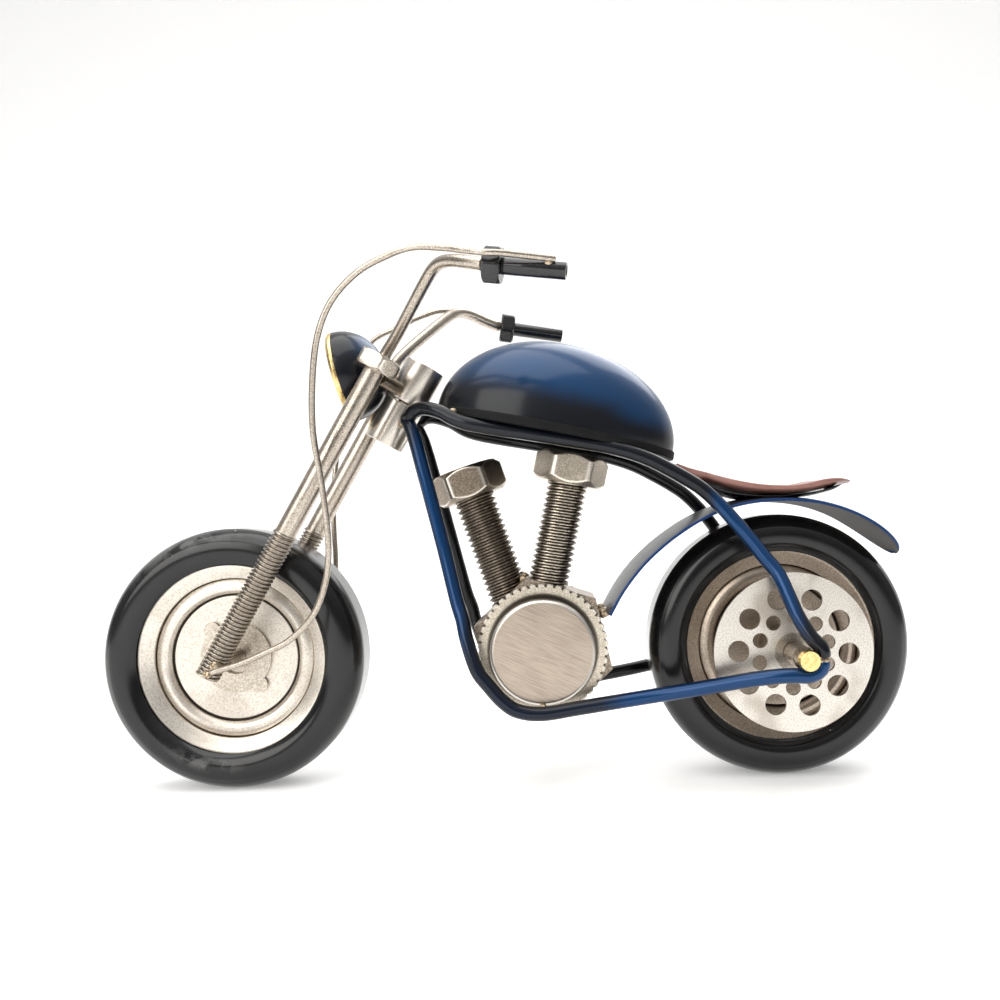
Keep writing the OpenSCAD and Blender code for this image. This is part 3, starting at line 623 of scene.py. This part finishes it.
fender = np.stack([line[:, None, 0] - slope[:, None, 1] * lift, half_width[:, None] * across[None, :],
                   line[:, None, 1] + slope[:, None, 0] * lift], -1)
on_edge = rise(np.abs(across), 0.82, 0.99)[None, :] * np.ones(len(line))[:, None]
on_edge = np.maximum(on_edge, 1 - rise(left_over, 0.2, 1.2)[:, None])
outer = (face > 0)[None, :] * np.ones(len(line))[:, None]
make_piece("rear_fender_strip", [solid_of(fender)], "frame", fender_paint, ["rear_fender"], "fender_paint",
           sharp=60, blue=on_edge.ravel(), outer=outer.ravel())

seat_marks = [
    (45, 0.25, 79.9, 78.6), (48, 0.45, 78.6, 76.6), (52, 0.65, 77.3, 75), (56.2, 0.8, 75.9, 73.5),
    (60.3, 0.92, 74.8, 72.4), (64.4, 0.98, 74, 71.8), (68.5, 1, 73.6, 71.6), (72.7, 1, 73.5, 71.6),
    (76.8, 0.97, 74.1, 71.9), (81, 0.85, 74.9, 72.7), (85.6, 0.6, 75, 73.4), (89.5, 0.2, 74.4, 73.8)]
seat = smooth_path(seat_marks, 6)[:, :, None]
level = (seat[:, 2] + seat[:, 3]) / 2 + (seat[:, 2] - seat[:, 3]) / 2 * face
level = level - 0.8 * seat[:, 1] * (1 - across**2) + 0.3 * (face < 0) * across**2
pan = np.stack([np.broadcast_to(seat[:, 0], level.shape), 11.5 * seat[:, 1] * across, level], -1)
make_piece("seat_pan_strip", [solid_of(pan)], "frame", seat_paint, ["seat_pan"], "seat_paint", sharp=60)

seat_base_marks = [
    (50, 75.2, 75), (53.9, 73.5, 72.4), (57.3, 72.1, 71.5), (61, 71.6, 70.8), (66, 71, 70.4),
    (71, 70.9, 70.4), (74.7, 71.2, 70.9), (78.8, 71.7, 71.2), (82.9, 72.6, 71.9), (85, 73.2, 73)]
plate = smooth_path(seat_base_marks, 4)[:, :, None]
level = (plate[:, 1] + plate[:, 2]) / 2 + (plate[:, 1] - plate[:, 2]) / 2 * face - 0.8 * (1 - across**2)
under = np.stack([np.broadcast_to(plate[:, 0], level.shape), 9 * across + 0 * level, level], -1)
make_piece("seat_support", [solid_of(under)], "frame", black_paint, ["seat_base"], "black_paint", sharp=60)

# %% [markdown]
# ## Threads and hex heads
# The fork legs and the cylinders are hex bolts, so their threads matter most of all. A thread
# is a radius that rises and falls with height, and whose waves slide by one pitch per turn: that
# slide is what makes it a screw and not a stack of rings. A head is the smaller of two radii, a
# hexagon's and a cone's, which is how its curved chamfers come about. The rear cylinder is a
# paler bolt than the front one.

# %% Threaded shank
def thread(foot, axis, length, radius, pitch, around, steps=14):
    """Helical thread: radius falls by a trapezoid wave of the height less the turn's share.

    Returns the solid and, for each point, how much painted shade its flank gets. Crest and root stay bright.
    """
    u, v, w = axis_frame(axis)
    z = np.arange(0, length + 1e-6, pitch / steps)[:, None]
    turn = (2 * np.pi * np.arange(around) / around)[None, :]
    phase = (z / pitch - turn / (2 * np.pi)) % 1
    ridge = np.clip(1.6 * (1 - np.abs(2 * phase - 1)) - 0.3, 0, 1)
    fade = rise(z, 0, pitch) * (1 - rise(z, length - pitch, length))
    depth = 0.58 * pitch * (1 - ridge) * (0.25 + 0.75 * fade)
    r = (radius - depth)[..., None]
    spoke = np.cos(turn)[..., None] * u + np.sin(turn)[..., None] * v
    rings = np.array(foot) + z[..., None] * w + r * spoke
    # Painted shade on the flanks, strongest halfway between crest and root.
    return solid_of(rings), np.clip(5 * ridge * (1 - ridge), 0, 1).ravel()


def hex_head(foot, axis, flats, height, chamfer, start):
    """Smaller of two radii, a hexagon's and that of a cone capped short of the corners.

    The two are joined softly, as b - log(exp(-s (a - b)) + 1) / s. Returns the solid and, for
    each point, how strong its painted highlight is: 1 where the radii are equal, the outline of
    every flat face.
    """
    u, v, w = axis_frame(axis)
    around = 240
    turn = 2 * np.pi * np.arange(around) / around
    local = (turn - start + np.pi / 6) % (np.pi / 3) - np.pi / 6
    prism = flats / 2 / np.cos(local)
    corner = flats / 2 / np.cos(np.pi / 6)
    z = np.concatenate([
        [0], np.linspace(0.02, chamfer * 1.3, 12), np.linspace(chamfer * 1.4, height - chamfer * 1.4, 4),
        np.linspace(height - chamfer * 1.3, height - 0.02, 12), [height]])
    from_end = np.minimum(z, height - z)
    cone = flats * 0.48 + (corner + 0.05 - flats * 0.48) * np.clip(from_end / chamfer, 0, 3)
    sharpness = 14 / np.sqrt(flats / 10)
    a, b = prism[None, :], np.minimum(cone, corner - 0.018 * flats)[:, None]
    r = -np.log(np.exp(-sharpness * (a - b)) + 1) / sharpness + b
    # Painted highlight along the outline of every flat face.
    bright = np.exp(-((a - b) / (0.008 * flats)) ** 2)
    spoke = np.cos(turn)[None, :, None] * u + np.sin(turn)[None, :, None] * v
    rings = np.array(foot) + z[:, None, None] * w + r[..., None] * spoke
    caps = [np.array(foot) + level * w + 0.96 * flats * 0.47 * spoke[0] for level in (0, height)]
    rings = np.concatenate([caps[0][None], rings, caps[1][None]])
    bright = np.concatenate([np.zeros((1, around)), np.clip(bright, 0, 1), np.zeros((1, around))])
    return solid_of(rings), bright.ravel()


def bolt_piece(name, parts, body, finish, stands_for, slot):
    """Joins solids that come with their painted shade or painted edge highlights, one after the other."""
    groove, bright = [], []
    for (points, _), kind, amount in parts:
        padded = np.zeros(len(points))
        padded[: len(amount)] = amount
        groove.append(padded if kind == "groove" else 0 * padded)
        bright.append(padded if kind == "edge" else 0 * padded)
    return make_piece(name, [p[0] for p in parts], body, finish, stands_for, slot, 40,
                      groove=np.concatenate(groove), edge=np.concatenate(bright))


# %% Cylinder bolts
engine = np.array([9.4, 0, 34.0])
cylinder_radius, cylinder_pitch, head_flats, head_height = 5.3, 1.5, 17, 7.8
for name, head, foot in (
        ("front", (-8.8, 0, 76.1), (2.1, 0, 43.3)), ("rear", (17.7, 0, 79.1), (10.2, 0, 46.1))):
    head, foot = np.array(head), np.array(foot)
    axis = (head - foot) / np.linalg.norm(head - foot)
    shank = np.linalg.norm(head - foot) - head_height / 2
    start = foot - 2 * axis
    # Painted shade on the thread flanks and a painted highlight on the head's edges.
    turns, groove = thread(start, axis, shank + 2, cylinder_radius, cylinder_pitch, 72)
    top, bright = hex_head(foot + shank * axis, axis, head_flats, head_height, 1.7, np.pi / 6)
    finish = bolt_steel if name == "front" else bright_bolt_steel
    bolt_piece(f"cylinder_{name}", [(turns, "groove", groove), (top, "edge", bright)], "frame", finish,
               [f"cylinder_bolt_{name}"], "bolt_steel")

# %% [markdown]
# ## The fork
# Two long hex bolts, head up. The plain shank ends where the thread starts, and the thread runs
# past the axle. Both bolts lean back with the steering axis, so one direction serves them both.

# %% Fork legs
rake = np.radians(30.2)
up_fork = np.array([np.sin(rake), 0, np.cos(rake)])
gap_at = np.array([-24.8, 0, 97.2])
for side_name, side in left_and_right:
    crown = np.array([-29.9, 13.8 * side, 103.7])
    foot = crown - 85 * up_fork
    turns, groove = thread(foot, up_fork, 39.6, 3, 1, 56)
    plain = eased([(0.3, 39), (2.3, 39), (2.6, 39.5), (2.6, 85.2), (0.3, 85.2)], 0.2)
    top, bright = hex_head(crown, up_fork, 10, 4, 1.0, np.radians(11) * side + (np.pi / 2))
    # Half-strength painted shade on the thread flanks, and a painted highlight on the head's edges.
    bolt_piece(f"fork_leg_{side_name}", [
        (turns, "groove", groove * 0.5), (turned(plain, foot, up_fork, 48), "edge", []),
        (top, "edge", bright)],
        "steering", bar_steel, [f"fork_bolt_{side_name}"], "steel")

# %% Steering cans
def can(name, low, high, radius, body, node):
    """A plain turned can on the steering axis with slightly rounded ends that carry a painted highlight."""
    outline = eased([(0.4, low), (radius, low), (radius, high), (0.4, high)], 0.35, 4)
    points, faces = turned(outline, gap_at, up_fork, 96)
    # Painted highlight round both rounded ends.
    wear_and_painted_highlight = np.exp(-((outline[:, 1] - low) / 0.4) ** 2) + np.exp(-((outline[:, 1] - high) / 0.4) ** 2)
    wear_and_painted_highlight = np.repeat(wear_and_painted_highlight * (outline[:, 0] > radius - 0.5), 96)
    return make_piece(name, [(points, faces)], body, bar_steel, node, "steel", edge=wear_and_painted_highlight)


can("upper_can", 0.25, 11.05, 5.3, "steering", ["steering_cap"])
can("lower_can", -11.75, -0.25, 5.1, "frame", ["head_tube"])

# %% [markdown]
# ## Handlebars, grips and cables
# Each handlebar is a 3 mm rod bent twice. A black nut sits where the grip starts. The brake
# cable is stiff wire, welded to the grip and to the foot of the fork, and bowed forward. Nothing
# holds it between its ends. The two wires were bent by hand and don't match.

# %% Bars and wires
bar_marks = [
    (-29.6, 7.2, 106), (-28, 7.4, 109.3), (-24.6, 10, 113.5), (-20.3, 15, 118.6), (-16.3, 20, 123.2),
    (-13.9, 23, 125.5), (-11.7, 25.5, 126.3), (-9, 28, 126), (-5.1, 31, 124.7), (-1.2, 33, 123.5)]
grip_end = np.array([17, 35.2, 120.9])
cable_marks = {
    "left": [(14.7, 36.6, 123.2), (3.8, 38.4, 124.2), (-0.9, 39, 124.4), (-5.6, 36.9, 125.6),
             (-9.7, 34.5, 126.9), (-17.5, 31, 128.3), (-24, 30, 126.6), (-30.6, 29, 123.4),
             (-36.8, 27.5, 117.6), (-40.5, 26.5, 109.6), (-42.3, 25, 99.3),
             (-42.8, 23.5, 88), (-41.6, 22, 77), (-40.6, 21, 65), (-40.9, 20.4, 57),
             (-42.6, 19.9, 50), (-45.7, 19.5, 44), (-51.2, 19, 38.9), (-57.2, 18.5, 36.1), (-63, 17.9, 33.7),
             (-71, 16.6, 31.4)],
    "right": [(14.7, 36.6, 123.2), (3.8, 38.4, 124.2), (-0.9, 39, 124.4), (-5.6, 36.9, 125.6),
              (-9.7, 34.5, 126.9), (-17.5, 31, 128.3), (-24, 30, 126.6), (-30.6, 29, 123.4),
              (-38.4, 29, 119.6), (-42.5, 27.5, 112), (-45.5, 26, 102),
              (-48, 24.5, 90), (-49.3, 23, 78), (-49.5, 22, 66.7), (-49, 21, 54.8),
              (-49.8, 20.4, 47), (-53, 19.8, 40.5), (-58.5, 19, 36.6), (-64.5, 18, 33.9), (-71, 16.6, 31.4)]}
for side_name, side in left_and_right:
    bar = mirrored(rod_rings(smooth_path(bar_marks, 8), 1.5, 28), side)
    make_piece(f"bar_{side_name}", [solid_of(bar)], "steering", bar_steel,
               [f"handlebar_{side_name}"], "steel")
    wire_rings = mirrored(rod_rings(smooth_path(cable_marks[side_name], 8), 0.75, 16), side)
    make_piece(f"brake_wire_{side_name}", [solid_of(wire_rings)], "steering", bar_steel,
               [f"brake_cable_{side_name}"], "steel")
    start = mirrored(np.array(bar_marks[-1]), side)
    end = mirrored(grip_end, side)
    axis = (end - start) / np.linalg.norm(end - start)
    length = np.linalg.norm(end - start)
    sleeve = eased([(0.3, 4), (1.95, 4), (1.95, length), (1.2, length), (1.1, length - 0.4),
                    (0.3, length - 0.4)], 0.2)
    make_piece(f"grip_sleeve_{side_name}", [turned(sleeve, start, axis, 40)], "steering", black_paint,
               [f"grip_{side_name}"], "black_gloss")
    nut, bright = hex_head(start, axis, 8, 4, 0.7, np.radians(15))
    bolt_piece(f"grip_hex_{side_name}", [(nut, "edge", bright)], "steering", black_paint,
               [f"grip_nut_{side_name}"], "black_gloss")

# %% [markdown]
# ## Headlight
# The headlight is a small pressed bowl that looks forward and down, with a pale gold ring and
# a low warm dome in it. All three turn about the same line.

# %% Bowl, ring and lens
lamp_at = np.array([-40.1, 0, 104.6])
lamp_back = np.array([np.cos(np.radians(14)), 0, np.sin(np.radians(14))])
quarter = np.radians(np.linspace(0, 89, 32))
shell = np.stack([11.7 * np.cos(quarter), 10.8 * np.sin(quarter)], -1)
shell = np.vstack([[(10.6, -0.02), (11.6, -0.02)], shell])
lamp_points, lamp_faces = turned(shell, lamp_at, lamp_back, 96)
lamp_blue = 0.85 * rise(lamp_points[:, 2], 104, 114) * rise(lamp_points[:, 0], -40, -33)
make_piece("lamp_bowl", [(lamp_points, lamp_faces)], "steering", tank_paint, ["headlight_shell"],
           "tank_paint", blue=lamp_blue)
ring = eased([(10.6, 0.1), (11.72, 0.1), (11.8, -0.6), (11.25, -1.4), (10.6, -0.7), (10.6, 0.1)], 0.12)[:-1]
make_piece("lamp_ring", [turned(ring, lamp_at, lamp_back, 96, True)], "steering", lamp_gold,
           ["headlight_rim"], "lamp_gold")
bulge = np.stack([10.65 * np.cos(quarter), -2.6 * np.sin(quarter)], -1)
make_piece("lamp_lens", [turned(np.vstack([[(0.3, 0.5), (10.6, 0.5)], bulge]), lamp_at, lamp_back, 96)],
           "steering", lens_glass, ["headlight_lens"], "lens_glass")

# %% [markdown]
# ## Wheels
# Each wheel is a satin black ring on a turned steel centre. The face has a flat middle, a fine
# groove, a rounded band and a second groove, and the rim slopes out to the tyre. The front tyre
# was rubbed in two places, so its points keep a number for the scuffs.

# %% Tyres, rims and faces
tyre_radius, tyre_half_width, tread_half_width, tyre_middle = 33, 8.8, 4, 27.6
rim_radius, face_radius, groove_radius = 24, 20.35, 16.1
half_wheelbase = 69.4


def power(x, p):
    """The power of a number's size, with its sign kept."""
    return np.sign(x) * np.abs(x) ** p


def tyre_outline():
    """A plump ring: rounder than a circle at its shoulders, flat where it meets the ground."""
    a = np.radians(np.linspace(-128, 128, 65))
    flat = np.arcsin((tread_half_width / tyre_half_width) ** (1 / 0.85))
    swell = tyre_radius - tyre_middle
    reach = tyre_middle + np.minimum(swell, swell / np.cos(flat) ** 0.85 * power(np.cos(a), 0.85))
    side = tyre_half_width * power(np.sin(a), 0.85)
    crease = 0.12 * np.exp(-((reach - 30.6) / 0.22) ** 2)
    side = side - np.sign(side) * crease
    foot = [(rim_radius, 6.6), (rim_radius, 0)]
    return np.vstack([[(rim_radius, -6.6)], np.stack([reach, side], -1), foot])


def scuffs(offset):
    """Two rubbed patches on the left of a tyre: each fades with angle and radius from its middle."""
    angle = np.degrees(np.arctan2(offset[:, 2], offset[:, 0])) % 360
    radius = np.hypot(offset[:, 0], offset[:, 2])
    wear_and_painted_highlight = np.zeros(len(offset))
    for middle, spread, at_radius in ((112, 20, 31.2), (255, 16, 26.5)):
        wear_and_painted_highlight += np.exp(-((angle - middle) / spread) ** 2 - ((radius - at_radius) / 1.3) ** 2)
    return np.clip(wear_and_painted_highlight, 0, 1) * (offset[:, 1] < 0)


def face_outline():
    """Wheel face from its bore to its edge, as (radius, height over the centre plane)."""
    g, e = groove_radius, face_radius
    marks = [(4.3, 0), (4.3, 2.2), (g - 0.3, 2.8), (g - 0.15, 2.2), (g + 0.15, 2.2), (g + 0.3, 3.2),
             (g + 1, 4), (g + 1.9, 4.3), (g + 2.8, 4.1), (e - 0.25, 3.5), (e - 0.2, 2.6), (e, 2.6), (e, 0)]
    return eased(marks, 0.25, 4)


for wheel, x, wheel_finish, wheel_slot in (
        ("front", -half_wheelbase, wheel_steel, "steel"),
        ("rear", half_wheelbase, rim_bronze, "rim_bronze")):
    hub = np.array([x, 0, float(tyre_radius)])
    body = f"{wheel}_wheel"
    tyre_points, tyre_faces = turned(tyre_outline(), hub, (0, 1, 0), 180, True)
    make_piece(f"{wheel}_tyre_ring", [(tyre_points, tyre_faces)], body, tyre_black, [f"{wheel}_tyre"], "tyre",
               scuff=scuffs(tyre_points - hub) * (wheel == "front"))
    rim = eased([(face_radius, 0), (face_radius, 4.4), (23.4, 6), (rim_radius, 6.1), (rim_radius, -6.1),
                 (23.4, -6), (face_radius, -4.4), (face_radius, 0)], 0.2)
    make_piece(f"{wheel}_rim_ring", [turned(rim[:-1], hub, (0, 1, 0), 180, True)], body, wheel_finish,
               [f"{wheel}_rim"], wheel_slot)
    for side_name, side in left_and_right:
        outline = face_outline()
        r, h = outline[:, 0], outline[:, 1]
        # Painted shade in both grooves of the face.
        face_painted_shade = np.exp(-((r - groove_radius) / 0.32) ** 2) * (h < 3) + (r > 20) * (h < 3.2) * 0.95
        make_piece(f"{wheel}_face_{side_name}", [turned(outline, hub, (0, side, 0), 180, True)], body,
                   wheel_finish, [f"{wheel}_face_disc_{side_name}"], wheel_slot,
                   groove=np.tile(np.clip(face_painted_shade, 0, 1), 180))

# %% [markdown]
# ## Crankcase
# A large nut lies on its side, a toothed washer on each face, and a round slug on each washer.
# The teeth are a wave in the washer's radius. Painted shade sits between the teeth and beside the
# slug, and the tips of the teeth and the slug's rim carry painted highlights.

# %% Washers and slugs
tooth_count, bite_depth, washer_radius, slug_radius = 46, 0.6, 16.3, 12.9
for side_name, side in left_and_right:
    around = tooth_count * 12
    teeth = (tooth_count * np.arange(around) / around) % 1
    bite = bite_depth * np.exp(-((np.minimum(teeth, 1 - teeth)) / 0.16) ** 2)
    levels = eased([(3, 8.5), (15.5, 8.5), (washer_radius, 8.5), (washer_radius, 10), (15.5, 10),
                    (14.2, 10), (13.5, 10), (3, 10)], 0.3, 3)
    u, v, w = axis_frame((0, side, 0))
    turn = (2 * np.pi * np.arange(around) / around)[None, :]
    toothed = rise(levels[:, :1], 15.6, 15.9)
    r = levels[:, :1] - bite[None, :] * toothed
    spoke = np.cos(turn)[..., None] * u + np.sin(turn)[..., None] * v
    rings = engine + r[..., None] * spoke + levels[:, 1][:, None, None] * w
    # Painted highlight on the tips of the teeth, and painted shade between them and on the ring beside the
    # slug.
    wear_and_painted_highlight = np.clip(0.6 - bite / bite_depth, 0, 1)[None, :] * toothed
    washer_painted_shade = bite[None, :] / bite_depth * toothed + 0.9 * (1 - rise(levels[:, :1], 13.5, 14.2))
    make_piece(f"toothed_washer_{side_name}", [solid_of(rings)], "frame", washer_steel,
               [f"serrated_washer_{side_name}"], "steel", edge=wear_and_painted_highlight.ravel(), groove=washer_painted_shade.ravel())
    slug = eased([(0.4, 10), (slug_radius, 10), (slug_radius, 15.3), (12.2, 16), (0.4, 16)], 0.35, 5)
    # Painted highlight on the slug's bevelled rim, and painted shade on its side wall.
    shine = np.repeat(np.exp(-((slug[:, 0] - 12.5) / 0.32) ** 2) * (slug[:, 1] > 15), 120)
    slug_wall_shade = np.repeat(0.85 * (slug[:, 0] > 12.8) * (slug[:, 1] < 15.2), 120)
    make_piece(f"slug_{side_name}", [turned(slug, engine, (0, side, 0), 120)], "frame", slug_steel,
               [f"crankcase_slug_{side_name}"], "slug_steel", edge=shine, groove=slug_wall_shade)

# %% [markdown]
# ## Weld beads
# Molten metal froze in lumps where pieces meet. Each lump is a ball whose radius wanders with
# a few slow waves, so no two are alike.

# %% Lumps of weld
def lump(at, radius, seed):
    """A ball whose radius changes with the sum of a few waves over its surface."""
    waves = np.random.default_rng(seed)
    tilt = np.radians(np.linspace(4, 176, 18))[:, None]
    turn = (2 * np.pi * np.arange(28) / 28)[None, :]
    level = np.sin(tilt)
    point = np.stack(np.broadcast_arrays(level * np.cos(turn), level * np.sin(turn), np.cos(tilt)), -1)
    way = waves.normal(size=(6, 3)) * 2.2
    shift = waves.uniform(0, 6.28, 6)
    r = radius * (0.93 + 0.035 * np.sin(point @ way.T + shift).sum(-1))
    return solid_of(np.array(at, float) + r[..., None] * point)


frame_lumps = [((4.6, 0, 51.4), 1.7)]
for side in (-1, 1):
    frame_lumps += [
        ((4.8, side * 3.2, 51), 1.3), ((25, side * 5, 42.2), 1.6), ((9.2, side * 16, 20.8), 0.95),
        ((-24.4, side * 5.4, 91.6), 1.4), ((72.8, side * 29, 33), 1.9), ((-11.2, side * 12.9, 92.7), 1.4)]
steering_lumps = []
for side in (-1, 1):
    steering_lumps += [((-70, side * 15.4, 32.6), 2), ((-71.6, side * 16.6, 31), 1.2),
                       ((-29.6, side * 8, 107), 1.6), ((13, side * 36, 122.6), 1.1)]
make_piece("frame_welds", [lump(at, r, 10 + n) for n, (at, r) in enumerate(frame_lumps)], "frame", weld_metal,
           ["frame_weld_beads"], "weld", 60)
make_piece("steering_welds", [lump(at, r, 40 + n) for n, (at, r) in enumerate(steering_lumps)], "steering",
           weld_metal, ["steering_weld_beads"], "weld", 60)

# %% [markdown]
# ## Parts kept as they are
# Axles, sleeves, drilled discs and small turned parts already have their final shape, so they
# only need a finish. Their faces are loose triangles that point the right way already.

# %% Finish the kept parts
kept_finish = {
    "crankcase_nut": bolt_steel, "rear_axle": bar_steel, "rear_axle_end_left": brass,
    "rear_axle_end_right": brass,
    "rear_sleeve_left": bar_steel, "rear_sleeve_right": bar_steel, "steering_pin": bolt_steel,
    "crown_bar_left": bolt_steel, "crown_bar_right": bolt_steel, "headlight_post": bolt_steel,
    "front_axle": bar_steel, "front_eared_washer_left": ear_steel, "front_eared_washer_right": ear_steel,
    "front_bush": bar_steel, "brake_disc_left": disc_steel, "brake_disc_right": disc_steel,
    "rear_bush": bar_steel}
for node, finish in kept_finish.items():
    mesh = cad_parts[node].data
    mesh.materials.clear()
    mesh.materials.append(finish)
print("kept parts with a finish:", len(kept_finish))

# %% [markdown]
# ## A pale floor
# The floor is a sheet that curves up behind the model, so no line shows where it ends.

# %% Floor and backdrop
sweep = np.radians(np.linspace(0, 90, 24))
bend = np.stack([0.5 + 0.5 * np.sin(sweep), 0.5 - 0.5 * np.cos(sweep)], -1)
profile = np.concatenate([[(-2.0, 0)], bend, [(1.0, 2.5)]])
width = np.array([-3.0, 3.0])
grid = np.stack(np.broadcast_arrays(width[None, :], profile[:, :1], profile[:, 1:]), -1)
rows = np.arange(len(profile) - 1)[:, None] * 2
floor_mesh = bpy.data.meshes.new("floor")
floor_mesh.from_pydata(grid.reshape(-1, 3).tolist(), [], (rows + np.array([[0, 1, 3, 2]])).tolist())
floor_mesh.polygons.foreach_set("use_smooth", np.ones(len(rows), bool))
floor = bpy.data.objects.new("floor", floor_mesh)
scene.collection.objects.link(floor)
paper = Finish("pale paper", Roughness=0.9, Emission_Color=(1, 1, 1, 1), Emission_Strength=0.26)
paper_tone = paper.blend(paper.noise(0.4), (0.93, 0.93, 0.925), (0.95, 0.95, 0.945))
floor_mesh.materials.append(paper.varied(Base_Color=paper_tone))
